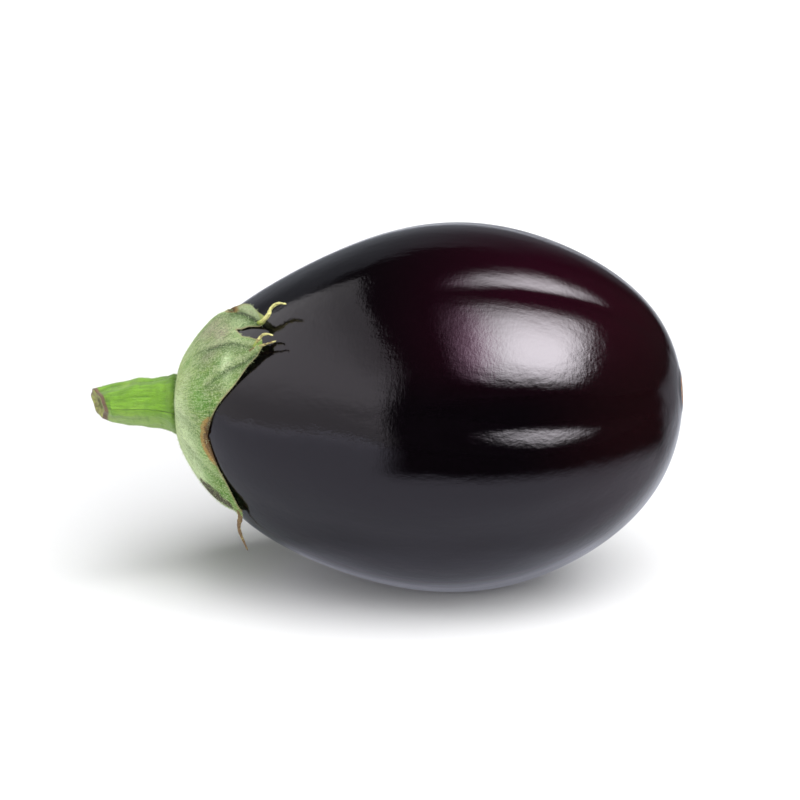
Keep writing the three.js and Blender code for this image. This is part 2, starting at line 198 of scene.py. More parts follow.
# %% Helpers for meshes
def new_piece(name, points, faces, finish, marks=None):
    """A smooth mesh object at the origin, in metres, with one float attribute for each mark."""
    mesh = bpy.data.meshes.new(name)
    mesh.from_pydata(points.tolist(), [], faces)
    mesh.shade_smooth()
    for mark, values in (marks or {}).items():
        layer = mesh.attributes.new(mark, "FLOAT", "POINT")
        layer.data.foreach_set("value", np.asarray(values, np.float32))
    mesh.materials.append(finish)
    mesh.update()
    piece = bpy.data.objects.new(name, mesh)
    bpy.context.scene.collection.objects.link(piece)
    print(name, "has", len(points), "points and", len(faces), "faces")
    return piece


def ring_faces(rows, sides, first=0):
    """Quads between rings of points that go round +X clockwise as seen from its tip."""
    faces = []
    for i in range(rows - 1):
        for j in range(sides):
            a, b = first + i * sides + j, first + i * sides + (j + 1) % sides
            faces.append((a, a + sides, b + sides, b))
    return faces


def cap_faces(pole, first, sides, outward):
    """Triangles from a pole to a ring."""
    turns = [(pole, first + j, first + (j + 1) % sides) for j in range(sides)]
    return turns if outward else [face[::-1] for face in turns]


# %% [markdown]
# ## Writing finishes as sums
#
# A finish is a tree of nodes, and long trees are hard to read. Here a socket is wrapped so that
# it can be added, multiplied and raised like a number; every operator makes one Math node. Other
# nodes are made by one method that takes the kind, then the settings, then the sockets.


# %% A wire that adds up, and a finish to hold it
class Wire:
    """An output socket that behaves like a number."""

    def __init__(self, finish, socket):
        self.finish, self.socket = finish, socket

    def sum(self, operation, *values):
        node = self.finish.tree.nodes.new("ShaderNodeMath")
        node.operation = operation
        for slot, value in zip(node.inputs, values):
            self.finish.feed(slot, value)
        return Wire(self.finish, node.outputs[0])

    def __add__(self, other):
        return self.sum("ADD", self, other)

    def __radd__(self, other):
        return self.sum("ADD", other, self)

    def __sub__(self, other):
        return self.sum("SUBTRACT", self, other)

    def __rsub__(self, other):
        return self.sum("SUBTRACT", other, self)

    def __mul__(self, other):
        return self.sum("MULTIPLY", self, other)

    def __rmul__(self, other):
        return self.sum("MULTIPLY", other, self)

    def __truediv__(self, other):
        return self.sum("DIVIDE", self, other)

    def __rtruediv__(self, other):
        return self.sum("DIVIDE", other, self)

    def __pow__(self, other):
        return self.sum("POWER", self, other)

    def __rpow__(self, other):
        return self.sum("POWER", other, self)

    def above(self, low, high):
        """0 below low, 1 above high, smooth between."""
        node = self.finish.node("ShaderNodeMapRange", {"interpolation_type": "SMOOTHSTEP"},
                                {"Value": self, "From Min": low, "From Max": high})
        return Wire(self.finish, node.outputs[0])


class Finish:
    """A material made of one Principled surface."""

    def __init__(self, name):
        self.material = bpy.data.materials.new(name)
        self.material.use_nodes = True
        self.tree = self.material.node_tree
        self.tree.nodes.clear()

    def feed(self, socket, value):
        """Puts a wire, a number, a vector or a colour on a socket."""
        if isinstance(value, Wire):
            self.tree.links.new(value.socket, socket)
        elif isinstance(value, tuple) and len(value) == 3 and len(socket.default_value) == 4:
            socket.default_value = (*value, 1)
        else:
            socket.default_value = value

    def node(self, kind, settings=None, sockets=None):
        """A node of a kind, with its settings and then what lies on its sockets."""
        node = self.tree.nodes.new(kind)
        for name, value in (settings or {}).items():
            setattr(node, name, value)
        for name, value in (sockets or {}).items():
            self.feed(node.inputs[name], value)
        return node

    def wire(self, node, output=0):
        return Wire(self, node.outputs[output])

    def place(self, stretch=(1, 1, 1)):
        """Object coordinates in metres, stretched."""
        place = self.wire(self.node("ShaderNodeTexCoord"), "Object")
        return self.scaled(place, stretch)

    def scaled(self, vector, stretch):
        node = self.node("ShaderNodeVectorMath", {"operation": "MULTIPLY"})
        self.feed(node.inputs[0], vector)
        self.feed(node.inputs[1], stretch)
        return self.wire(node)

    def mark(self, name):
        """The number that a mesh stores on its points under a name."""
        node = self.node(
            "ShaderNodeAttribute", {"attribute_type": "GEOMETRY", "attribute_name": name})
        return self.wire(node, "Fac")

    def joined(self, x, y, z):
        return self.wire(self.node("ShaderNodeCombineXYZ", None, {"X": x, "Y": y, "Z": z}))

    def noise(self, vector, scale, detail=3, roughness=0.5):
        node = self.node("ShaderNodeTexNoise", None, {
            "Vector": vector, "Scale": scale, "Detail": detail, "Roughness": roughness})
        return self.wire(node)

    def blend(self, share, first, second):
        """From the first colour to the second."""
        node = self.node("ShaderNodeMix", {"data_type": "RGBA"})
        self.feed(node.inputs[0], share)
        self.feed(node.inputs[6], first)
        self.feed(node.inputs[7], second)
        return self.wire(node, 2)

    def bump(self, height, depth, under=None):
        """Normals from a height, where depth is in metres."""
        node = self.node(
            "ShaderNodeBump", None, {"Height": height, "Strength": 1.0, "Distance": depth})
        if under is not None:
            self.feed(node.inputs["Normal"], under)
        return self.wire(node)

    def surface(self, **sockets):
        """Ends the tree in one Principled surface and gives the material."""
        names = {name.replace("_", " "): value for name, value in sockets.items()}
        shader = self.node("ShaderNodeBsdfPrincipled", None, names)
        output = self.node("ShaderNodeOutputMaterial")
        self.tree.links.new(shader.outputs[0], output.inputs["Surface"])
        return self.material


# %% [markdown]
# ## Skin
#
# The skin is a thin clear wax over nearly black purple, so it is a plain glossy surface: dark
# base colour, low roughness, and no metal. What makes it look grown is in the normals: fine
# wrinkles that run round the fruit, and a slow unevenness that makes reflections wander. A coat
# over a second surface would be the way for varnish on wood, but here there is nothing pale below
# it to see. The dried scar at the blossom end is a mark on the mesh that turns the colour brown.


# %% The finish of the skin
def skin_colour(finish, scar):
    """Nearly black, with a painted red glow on its upper side where the key light falls, and a little
    redder toward the blossom end.
    """
    place = finish.place()
    split = finish.node("ShaderNodeSeparateXYZ", None, {"Vector": place})
    length, height = finish.wire(split, 0), finish.wire(split, 2)
    patches = finish.noise(place, 22, 3)
    # painted light: a red glow in patches on the top of the fruit, where the key light falls
    painted_key_glow = height.above(0.063, 0.086) * length.above(-0.026, 0.036) * (0.35 + 1.1 * patches)
    purple = finish.blend(painted_key_glow, (0.0012, 0.0007, 0.0012), (0.0105, 0.0011, 0.0039))
    purple = finish.blend(length.above(0.02, 0.06) * 0.45, purple, (0.0110, 0.0026, 0.0032))
    flecks = finish.noise(place, 900, 2)
    bark = finish.blend(flecks.above(0.35, 0.65), (0.34, 0.17, 0.065), (0.10, 0.05, 0.025))
    return finish.blend(scar, purple, bark)


def skin_relief(finish):
    """Slow waves, wrinkles round the fruit, pebbles and grain, each finer and lower than the last."""
    normal = None
    for stretch, scale, detail, roughness, depth in (
        ((0.5, 1, 1), 75, 2, 0.5, 0.0003),
        ((0.28, 1, 1), 620, 4, 0.62, 0.00006),
        ((1, 0.5, 0.5), 1300, 3, 0.5, 0.000028),
        ((1, 1, 1), 2600, 2, 0.5, 0.000012),
    ):
        height = finish.noise(finish.place(stretch), scale, detail, roughness)
        normal = finish.bump(height, depth, normal)
    return normal


def skin_finish():
    """Black and glossy, smudged in places, and dull on the scar."""
    finish = Finish("skin")
    scar = finish.mark("scar")
    smudge = finish.noise(finish.place((0.5, 1, 1)), 90, 3)
    return finish.surface(
        Base_Color=skin_colour(finish, scar), Roughness=0.045 + 0.06 * smudge + 0.45 * scar,
        Normal=skin_relief(finish), IOR=1.46, Specular_Tint=(0.98, 0.91, 1.0, 1.0))


SKIN = skin_finish()
print("skin:", len(SKIN.node_tree.nodes), "nodes")

# %% [markdown]
# ## Fruit
#
# The fruit is the furrowed egg itself, in rings that crowd together toward both ends, where the
# skin turns fastest. A profile turned by a Screw modifier would be quicker to draw, but its girth
# would be the same all round, with no room for ribs that differ. Under it, points that would fall
# below the floor are brought up to it: a ripe fruit is heavy and rests on a small flat spot.


# %% The fruit
FRUIT_ROWS = 240
FRUIT_SIDES = 288
END_CROWDING = 0.19
SCAR_RADIUS = 4.4
SCAR_DEPTH = 1.1
SCAR_NARROWING = 1.4  # how much narrower its hollow is than the scar
SCAR_LIP = 0.35
SCAR_LIP_WIDTH = 0.35  # as a share of the radius of the scar


def fruit_piece():
    """The furrowed egg with the hollow and the lip of its scar."""
    share = np.arange(1, FRUIT_ROWS) / FRUIT_ROWS
    along = np.pi * share - END_CROWDING * np.sin(2 * np.pi * share)
    around = 2 * np.pi * np.arange(FRUIT_SIDES) / FRUIT_SIDES
    a, b = np.meshgrid(along, around, indexing="ij")
    points = egg_point(a, b, 1.0)
    from_end = np.where(a > np.pi / 2, egg_radius(a) / SCAR_RADIUS, np.inf)
    points[..., 0] += SCAR_LIP * bell((from_end - 1) / SCAR_LIP_WIDTH)
    points[..., 0] -= SCAR_DEPTH * bell(from_end * SCAR_NARROWING)
    poles = egg_point(np.array([0, np.pi]), np.zeros(2), 1.0)
    poles[1, 0] -= SCAR_DEPTH
    points = laid(np.concatenate([points.reshape(-1, 3), poles]))
    points[:, 2] = np.maximum(points[:, 2], 0)
    rows, sides = FRUIT_ROWS - 1, FRUIT_SIDES
    stem_pole, blossom_pole = rows * sides, rows * sides + 1
    faces = ring_faces(rows, sides)
    faces += cap_faces(stem_pole, 0, sides, True)
    faces += cap_faces(blossom_pole, (rows - 1) * sides, sides, False)
    scar = np.concatenate([1 - ease(0.75, 1.12, from_end.ravel()), [0, 1]])
    fruit = new_piece("eggplant_fruit", points, faces, SKIN, {"scar": scar})
    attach(fruit, "root")
    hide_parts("fruit")


fruit_piece()

# %% [markdown]
# ## Calyx
#
# The calyx is the green cap that once held the flower: fleshy at the stem, leaf-thin at its six
# lobes, which lift off the skin and end in dried threads. It could be cut from a shrink-wrapped
# sheet, but the same two angles give it directly. Each lobe is a grid from the stem to the tip.
# Up to the bays its rows are shared with the next lobe; beyond them it narrows to its tip.

# %% Where the lobes lie
HOLE_ANGLE = 9.8  # where the stem leaves the calyx, in degrees along
TIP_HALF_WIDTH = 1.15
RIPPLE = 0.05  # how much the edges of a lobe waver
EVEN = dict(hollow=(0.7, 0.7), belly=(0, 0))
LOBES = (  # bay and tip as (around, along); tip lift; rib; curl, hollow and belly of either edge
    dict(EVEN, bay=(-62, 29.5), tip=(-38.5, 41), lift=1.2, rib=0.5, curl=(0.1, 0.1)),
    dict(bay=(1.5, 28.9), tip=(45.2, 53.7), lift=2.5, rib=0.8, curl=(0.15, 0.3),
         hollow=(0.57, 0.66), belly=(0, 0)),
    dict(bay=(62.4, 42.6), tip=(56.2, 53.8), lift=2.7, rib=0.6, curl=(0.2, 1.9),
         hollow=(1.1, 0.52), belly=(0, 0.1)),
    dict(EVEN, bay=(108, 35), tip=(143, 49), lift=2.2, rib=0.35, curl=(0.4, 0.5)),
    dict(EVEN, bay=(171, 33), tip=(206, 51), lift=2.6, rib=0.5, curl=(0.8, 0.4)),
    dict(EVEN, bay=(236, 33), tip=(256, 43), lift=1.2, rib=0.4, curl=(0.4, 0.2)),
)


def next_bay(k):
    """The bay where lobe k ends and the next begins, which may lie a full turn further."""
    around, along = LOBES[(k + 1) % len(LOBES)]["bay"]
    return around + 360 * (k + 1 == len(LOBES)), along


def lobe_places(k, row, side):
    """Where rows and sides of lobe k lie: around, along, and the shared and lobed shares.

    Rows run from 0 at the stem to 1 at the bays and 2 at the tip, sides from -1 to 1.
    """
    lobe = LOBES[k]
    (from_around, from_along), (to_around, to_along) = lobe["bay"], next_bay(k)
    bay_along = mix(from_along, to_along, (side + 1) / 2)
    shared = np.minimum(row, 1)
    lobed = np.maximum(row - 1, 0)
    from_closing, to_closing = (
        lobed**hollow * (1 - belly * np.sin(np.pi * ease(0.3, 1, lobed)))
        for hollow, belly in zip(lobe["hollow"], lobe["belly"]))
    tip_around, tip_along = lobe["tip"]
    tip_half = TIP_HALF_WIDTH / (egg_radius(tip_along * DEGREE) * DEGREE)
    wave = 1 + RIPPLE * np.sin(lobed * 11 + from_around) * (1 - lobed)
    lower = mix(from_around, tip_around - tip_half, from_closing)
    upper = mix(to_around, tip_around + tip_half, to_closing)
    half = (upper - lower) / 2 * mix(1, wave, ease(0, 0.2, lobed))
    middle = (upper + lower) / 2
    along = np.where(row <= 1, mix(HOLE_ANGLE, bay_along, shared), mix(bay_along, tip_along, lobed))
    return middle + side * half, along, shared, lobed


print("lobes:", len(LOBES), "with tips at", [lobe["tip"] for lobe in LOBES])

# %% [markdown]
# ## Creases
#
# A fleshy leaf that dries folds over itself in a few soft creases. They could be sculpted or kept
# in a bump map; pressed into the mesh they also catch the light at the outline. Each is a straight
# stretch between two places. It presses steeply on its upper side, where the leaf folds over.

# %% The creases
CREASES = (  # from place, to place, depth, half width
    ((62, 27), (58, 32), 0.8, 1.5),
    ((58, 32), (53.5, 42), 1.2, 1.5),
    ((53.5, 42), (47, 49), 0.9, 1.3),
    ((34, 33), (39, 40), 0.8, 1.6),
    ((39, 40), (42.5, 51), 1.1, 1.3),
    ((74.5, 43), (57.3, 52), 1.5, 1.2),
    ((84, 22), (90, 36), 0.5, 1.8),
    ((12, 17), (3, 28), 0.5, 1.8),
    ((-14, 20), (-22, 33), 0.6, 1.5),
    ((126, 24), (136, 42), 0.7, 1.6),
    ((188, 24), (198, 43), 0.7, 1.6),
    ((216, 26), (211, 42), 0.6, 1.5),
    ((248, 24), (254, 38), 0.6, 1.6),
)
UPPER_REACH = 0.5  # how far a crease presses on either side, as shares of its half width
LOWER_REACH = 1.1
SHALLOW = 0.5  # a crease no deeper than this has no painted shadow line
FOLD_SHADOW_AT = -0.2  # where the painted shadow line and the painted ridge highlight lie over a crease, in millimetres
FOLD_SHADOW_REACH = 0.5
RIDGE_HIGHLIGHT_AT = 0.9
RIDGE_HIGHLIGHT_REACH = 0.6
SHADE_REACH = 2.8


def to_creases(around, along):
    """The distance to each crease in millimetres, positive on its upper side, and its sizes."""
    across = egg_radius(along * DEGREE) * DEGREE
    down = RADIUS * DEGREE
    for start, end, deep, wide in CREASES:
        px, py = (around - start[0]) * across, (along - start[1]) * down
        vx, vy = (end[0] - start[0]) * across, (end[1] - start[1]) * down
        share = np.clip((px * vx + py * vy) / (vx * vx + vy * vy), 0, 1)
        distance = np.hypot(px - share * vx, py - share * vy)
        yield distance * np.sign(px * vy - py * vx), deep, wide


def crease_depth(around, along):
    """How deep the creases press: steeply on their upper side, where the leaf folds over them."""
    depth = np.zeros_like(around)
    for distance, deep, wide in to_creases(around, along):
        reach = wide * np.where(distance > 0, UPPER_REACH, LOWER_REACH)
        depth = np.maximum(depth, deep * bell(distance / reach))
    return depth


def crease_marks(around, along):
    """Painted light by each crease: a painted shadow line in the fold, painted shade below it and a
    painted highlight on the pale ridge above it.
    """
    fold, shade, ridge_highlight = (np.zeros_like(around) for _ in range(3))
    for distance, deep, wide in to_creases(around, along):
        line = bell((distance - FOLD_SHADOW_AT) / FOLD_SHADOW_REACH)
        fold = np.maximum(fold, 2 * max(deep - SHALLOW, 0) * line)
        shade = np.maximum(shade, deep * bell(distance / SHADE_REACH) * (distance < 0))
        ridge_highlight = np.maximum(ridge_highlight, deep * bell((distance - RIDGE_HIGHLIGHT_AT) / RIDGE_HIGHLIGHT_REACH))
    return {"fold": fold, "shade": shade, "ridge_highlight": ridge_highlight}


print("creases:", len(CREASES))

# %% [markdown]
# ## Heights of the calyx
#
# The leaf has an under side that lifts off the skin toward the tips and an upper side above it. A
# Solidify modifier would give it one thickness; a calyx is thick at the stem, ribbed along each
# lobe and thin at its edges, so both heights follow rules of their own. A fold takes the larger
# part of its depth from the thickness of the leaf and, where the leaf stands free, the rest from
# its height.

# %% How high the calyx stands
CROWN_LIFT = 0.35  # over the skin, at the stem and at the bays
EDGE_LIFT = 0.35
CROWN_THICKNESS = 1.85
LOWER_SIDE = 0.45  # how much thicker its lower side is, and how much thinner its upper one
EDGE_THICKNESS = 0.7
THINNED_SHARE = 0.6  # how much of a crease is taken from the thickness
THINNEST = 0.65  # how much of the leaf a crease leaves
ROLL = 2.1  # dried edges roll up more than those of the solid
COLLAR_HEIGHT = 1.5  # the swelling round the stem, and how far it reaches and leans
COLLAR_REACH = 8.8
COLLAR_LEAN = 0.8


def collar_share(along):
    """How much of the collar stands at each place."""
    return bell((along - HOLE_ANGLE) / COLLAR_REACH)


def lobe_heights(lobe, side, around, along, shared, lobed, settled):
    """Heights of the under and the upper side, lowered where the edge has settled on the skin."""
    reach = 0.55 * shared + 0.45 * lobed  # the share of the way from the stem to the tip
    curl = np.where(side < 0, *lobe["curl"])
    rolled = ROLL * curl * np.abs(side) ** 2.5 * ease(0.05, 0.6, lobed) * (1 - lobed) ** 0.8
    base = mix(CROWN_LIFT, EDGE_LIFT, shared**2)
    free = settled * (base + (lobe["lift"] - EDGE_LIFT) * lobed**1.6) + rolled
    swell = np.maximum(np.sin(np.pi * np.minimum(1, reach * 1.05)), 0) ** 0.7
    rib = lobe["rib"] * (1 - side * side) ** 2 * swell
    crown = CROWN_THICKNESS - LOWER_SIDE * np.sin(around * DEGREE)
    thickness = mix(crown, EDGE_THICKNESS, ease(0.2, 0.85, reach))
    thickness = thickness + rib + COLLAR_HEIGHT * collar_share(along)
    crease = crease_depth(around, along)
    thinned = np.minimum(THINNED_SHARE * crease, thickness - THINNEST)
    bent = np.clip(crease - thinned, 0, np.maximum(free - CROWN_LIFT, 0))
    return free - bent, free - bent + thickness - thinned


print("the calyx is", CROWN_THICKNESS + COLLAR_HEIGHT, "mm thick at the stem")

# %% [markdown]
# ## Felt
#
# The calyx is covered with fine star-shaped hairs that make it look felted and grey, over green
# that is palest at the crown and dries to brown along the edges and at the tips. Streaks follow
# the lobes from the stem to the tip, so the noise is read in the two angles stored on the mesh.
# The felt could be made of hairs alone, but millions of them would be needed: here its colour and
# relief carry it, and the hairs that come later only stand on top and fringe its edges.


# %% Stains
STAINS = {  # places as (around, along), and reach in degrees round and along
    "blush": (
        ((73, 33), (9, 6)), ((62, 38), (7, 3.5)), ((52, 33), (6, 4)), ((150, 34), (14, 7)),
    ),
    # pale felt; low at the front of the crown it is also painted light from the low left
    "pale": (
        ((-16, 19), (24, 7)), ((-34, 24), (16, 5)), ((41, 41), (8, 2)), ((17, 13), (18, 6)),
        ((66, 47), (9, 5)), ((200, 24), (25, 8)),
    ),
    "fresh": (
        ((29, 28), (10, 4)), ((-26, 28), (13, 3)), ((60, 20), (8, 4)), ((60, 49), (8, 4)),
        ((230, 25), (15, 6)),
    ),
    "dry": (
        ((0, 27.5), (17, 7)), ((88, 40), (13, 7)), ((108, 36), (8, 4)), ((176, 36), (12, 6)),
        ((232, 36), (10, 6)),
    ),
    "scorched": (
        ((-48, 26), (13, 2.2)), ((-45, 29.3), (12, 2)), ((-42, 32.6), (9, 2)),
        ((-40, 36), (5, 2.2)),
    ),
}


def stain(name, around, along):
    """How much of a stain lies at each place, from 0 to 1."""
    share = np.zeros_like(around)
    for (at_around, at_along), (wide, long) in STAINS[name]:
        share += bell((around - at_around) / wide) * bell((along - at_along) / long)
    return np.minimum(share, 1)


print("stains:", {name: len(places) for name, places in STAINS.items()})


# %% The finish of the calyx
def calyx_finish():
    """Green, streaked and stained, with painted shade and highlight at the creases, each tone laid
    over the last, with felt over all.
    """
    finish = Finish("calyx_felt")
    mark = finish.mark
    crown, edge = mark("crown"), mark("edge")
    leaf = finish.joined(mark("across"), mark("down"), 0.0)
    streaks = finish.noise(finish.scaled(leaf, (1, 0.14, 1)), 1.4, 4, 0.6)
    clouds = finish.noise(finish.scaled(leaf, (1, 0.6, 1)), 0.22, 3)
    strands = finish.noise(finish.scaled(leaf, (1, 0.12, 1)), 2.4, 5, 0.7)
    felt = finish.noise(finish.place(), 2100, 3, 0.75)
    fibres = finish.noise(finish.scaled(leaf, (1, 0.4, 1)), 3.5, 4, 0.65)
    pale_strand = finish.blend(crown, (0.360, 0.440, 0.220), (0.720, 0.830, 0.520))
    dry = mark("dry") * mark("margin") + 0.35 * (strands - 0.5)
    brittle = dry + 0.6 * edge + 0.5 * (strands - 0.5)
    scorched = mark("scorched") + 0.9 * (streaks - 0.5)
    colour = finish.blend(streaks.above(0.35, 0.65), (0.080, 0.180, 0.015), (0.190, 0.310, 0.050))
    for share, tone in (
        ((1 - clouds.above(0.35, 0.55)) * 0.75, (0.065, 0.200, 0.010)),
        (clouds.above(0.52, 0.72) * 0.6, (0.250, 0.275, 0.150)),
        (crown * (0.4 + 0.9 * streaks), (0.700, 0.850, 0.380)),
        (crown.above(0.75, 1.0) * 0.5, (0.420, 0.560, 0.110)),
        (mark("fresh") * 0.75, (0.130, 0.340, 0.022)),
        # pale felt, and painted light at the low front of the crown
        (mark("pale") * (0.5 + 0.7 * streaks), (0.790, 0.940, 0.560)),
        (mark("blush") * (0.45 + 0.6 * clouds), (0.340, 0.265, 0.215)),
        (strands.above(0.5, 0.6) * 0.7, pale_strand),
        ((1 - strands.above(0.38, 0.47)) * 0.7, (0.060, 0.180, 0.008)),
        # painted light at the creases: a highlight on each ridge, shade below it and a shadow line in
        # the fold
        (mark("ridge_highlight") * 0.6, (0.400, 0.460, 0.260)),
        (mark("shade") * 0.75, (0.060, 0.130, 0.020)),
        (mark("fold") * 0.6, (0.022, 0.040, 0.010)),
        (felt.above(0.52, 0.66) * 0.5, (0.620, 0.680, 0.430)),
        ((1 - felt.above(0.36, 0.47)) * 0.6, (0.030, 0.085, 0.008)),
        (edge.above(0.6, 0.95) * (0.3 + 0.5 * clouds), (0.330, 0.215, 0.130)),
        (dry.above(0.26, 0.36) * 0.9, (0.330, 0.185, 0.050)),
        (brittle.above(0.72, 1.05) * 0.85, (0.100, 0.046, 0.018)),
        (scorched.above(0.38, 0.5) * (0.75 + 0.4 * felt), (0.040, 0.021, 0.011)),
        (mark("tip").above(0.1, 0.9) * 0.75, (0.240, 0.290, 0.030)),
    ):
        colour = finish.blend(share, colour, tone)
    normal = finish.bump(felt, 0.0003, finish.bump(fibres, 0.0007))
    return finish.surface(
        Base_Color=colour, Roughness=0.85, Normal=normal, IOR=1.4,
        Sheen_Weight=0.1, Sheen_Roughness=0.5, Sheen_Tint=(0.9, 1.0, 0.75, 1.0))


CALYX = calyx_finish()
print("calyx felt:", len(CALYX.node_tree.nodes), "nodes")

# %% [markdown]
# ## Lobes
#
# Six grids, each from the stem to one tip, are laid side by side and their shared points joined.
# Every lobe has an upper and an under side and a narrow rim between them, as a real leaf has.
# A dried edge thins and settles on the skin, so each point asks how far it is from the nearest
# free edge. A Bevel modifier on the rim would be easier, but it leaves the leaf as thick as it was.

# %% A grid for each lobe
SHARED_ROWS = 30  # before the bays
LOBE_ROWS = 44  # from the bays to the tip
LOBE_COLUMNS = 56
EDGE_ROUNDING = 2.6  # millimetres from the edge over which the leaf thins
RIM_SHARE = 0.2  # and the share of its thickness that is left at the rim
EDGE_SETTLING = 0.15  # how much of its height an edge keeps once it has settled on the skin
SETTLED_REACH = 5.0  # how far from the edge the leaf stands free again
EDGE_REACH = 1.1  # how far the tones of the edge and of the margin reach inward
MARGIN_REACH = 1.8
TIP_YELLOWS = (0.1, 0.35, 1.0, 0.6, 0.6, 0.2)  # how yellow the tip of each lobe has dried


def lobe_rows():
    """Rows from the bays to the tip, a little closer together at the tip."""
    return 1 + (np.arange(LOBE_ROWS + 1) / LOBE_ROWS) ** 0.9


def edge_points():
    """Points along all the free edges of the calyx, in millimetres."""
    row, side = np.meshgrid(lobe_rows(), (-1.0, 1.0), indexing="ij")
    places = [lobe_places(k, row, side)[:2] for k in range(len(LOBES))]
    return np.concatenate([over_skin(around, along, 0).reshape(-1, 3) for around, along in places])


def lobe_grid(k, edges):
    """The upper and the under points of a lobe in millimetres, and its marks."""
    rows = np.concatenate([np.arange(SHARED_ROWS) / SHARED_ROWS, lobe_rows()])
    sides = np.sin(np.linspace(-1, 1, LOBE_COLUMNS + 1) * np.pi / 2)
    row, side = np.meshgrid(rows, sides, indexing="ij")
    around, along, shared, lobed = lobe_places(k, row, side)
    here = over_skin(around, along, 0)
    from_edge = np.linalg.norm(here[:, :, None] - edges, axis=-1).min(axis=-1)
    free = np.maximum(ease(0, SETTLED_REACH, from_edge), ease(0.5, 0.95, lobed))
    settled = mix(EDGE_SETTLING, 1, free)
    under, upper = lobe_heights(LOBES[k], side, around, along, shared, lobed, settled)
    upper = under + (upper - under) * mix(RIM_SHARE, 1, ease(-1, EDGE_ROUNDING, from_edge))
    marks = {
        "across": around * 0.5,
        "down": along * RADIUS * DEGREE,
        "crown": 1 - ease(0.1, 0.85, shared),
        "edge": np.exp(-from_edge / EDGE_REACH),
        "margin": bell(from_edge / MARGIN_REACH),
        "tip": ease(0.8, 1, lobed) * TIP_YELLOWS[k],
        **{name: stain(name, around, along) for name in STAINS},
        **crease_marks(around, along),
    }
    lean = COLLAR_LEAN * collar_share(along)
    return over_skin(around, along - lean, upper), over_skin(around, along, under), marks


print("points on free edges:", len(edge_points()))


# %% The calyx
def lobe_faces(upper, under):
    """Faces of one lobe, whose upper and under points begin at these two numbers."""
    rows, columns = SHARED_ROWS + LOBE_ROWS, LOBE_COLUMNS
    at = lambda base, i, j: base + i * (columns + 1) + j
    faces = []
    for i in range(rows):
        for j in range(columns):
            corners = ((i, j), (i + 1, j), (i + 1, j + 1), (i, j + 1))
            faces.append(tuple(at(upper, *corner) for corner in corners))
            faces.append(tuple(at(under, *corners[turn]) for turn in (0, 3, 2, 1)))
        if i >= SHARED_ROWS:
            faces.append((at(upper, i, 0), at(under, i, 0),
                          at(under, i + 1, 0), at(upper, i + 1, 0)))
            faces.append((at(upper, i, columns), at(upper, i + 1, columns),
                          at(under, i + 1, columns), at(under, i, columns)))
    for j in range(columns):
        faces.append((at(upper, 0, j), at(upper, 0, j + 1), at(under, 0, j + 1), at(under, 0, j)))
        faces.append((at(upper, rows, j), at(under, rows, j),
                      at(under, rows, j + 1), at(upper, rows, j + 1)))
    return faces


def weld(piece, distance=1e-6):
    """Joins the points that neighbouring grids share."""
    work = bmesh.new()
    work.from_mesh(piece.data)
    bmesh.ops.remove_doubles(work, verts=work.verts, dist=distance)
    work.to_mesh(piece.data)
    work.free()
    print(piece.name, "welded to", len(piece.data.vertices), "points")


def calyx_piece():
    """All the lobes, side by side and welded."""
    points, faces, marks = [], [], {}
    size = (SHARED_ROWS + LOBE_ROWS + 1) * (LOBE_COLUMNS + 1)
    edges = edge_points()
    for k in range(len(LOBES)):
        upper, under, own = lobe_grid(k, edges)
        points += [upper.reshape(-1, 3), under.reshape(-1, 3)]
        faces += lobe_faces(2 * k * size, (2 * k + 1) * size)
        for mark, values in own.items():
            marks.setdefault(mark, []).extend([values.ravel(), values.ravel()])
    marks = {mark: np.concatenate(values) for mark, values in marks.items()}
    calyx = new_piece("eggplant_calyx", laid(np.concatenate(points)), faces, CALYX, marks)
    weld(calyx)
    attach(calyx, "root")
    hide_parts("calyx")
    return calyx


calyx = calyx_piece()

# %% [markdown]
# ## Threads
#
# Where a lobe ends it dries to a thin thread that bends away from the skin. A curve with a round
# bevel would do for a wire, but a thread is flat, knobbed and closed at both ends. So each is a row
# of rings along a smooth path through a few places over the skin, tapering to its end.

# %% The threads
THREADS = (  # radius at root and end, how brown, then places as (around, along, height)
    ((1.15, 0.5), 0.15, ((55.6, 52.4, 2.3), (55.6, 53.6, 2.6), (56.6, 55.5, 3.2), (58.3, 56.8, 3.9),
                         (58.4, 59, 4.4), (56.4, 61.4, 4.6))),
    ((0.95, 0.4), 0.3, ((45.4, 51.4, 2.2), (47, 52.6, 2.8), (48.4, 54, 3),
                        (48, 55.6, 3.1), (46.6, 57.2, 3.1))),
    ((0.85, 0.34), 0.55, ((44.6, 49.4, 1.6), (44.8, 52, 2.1), (44.2, 55, 2.8), (43.7, 58.3, 3.4))),
    ((0.85, 0.34), 0.75, ((-37, 40, 1.1), (-42, 40.3, 1.8), (-52, 40, 3.3), (-66, 43, 6))),
    ((1.0, 0.45), 0.5, ((143, 47.5, 1.9), (143.5, 50, 2.9), (146, 53.5, 4.4), (150, 56, 4.6))),
    ((1.0, 0.45), 0.3, ((206, 49.5, 2.2), (206, 52, 3.3), (203, 56, 3.5), (200, 58.5, 4.2))),
    ((0.9, 0.45), 0.8, ((256, 42, 1.1), (255, 44.5, 1.6), (252, 47, 1.8), (248, 49, 2))),
)
THREAD_ROWS = 40
THREAD_SIDES = 14
THREAD_FLATNESS = 0.55  # its thickness as a share of its width
THREAD_END = 0.04  # the share of its length over which its end rounds off


def smooth_path(places, count):
    """A Catmull-Rom path through places over the skin, in millimetres."""
    knots = over_skin(*np.array(places, float).T)
    knots = np.concatenate([[2 * knots[0] - knots[1]], knots, [2 * knots[-1] - knots[-2]]])
    spans = len(places) - 1
    at = np.linspace(0, spans, count)
    k = np.minimum(at.astype(int), spans - 1)
    t = (at - k)[:, None]
    a, b, c, d = (knots[k + i] for i in range(4))
    bend, turn = 2 * a - 5 * b + 4 * c - d, 3 * b - a - 3 * c + d
    return 0.5 * (2 * b + (c - a) * t + bend * t**2 + turn * t**3)


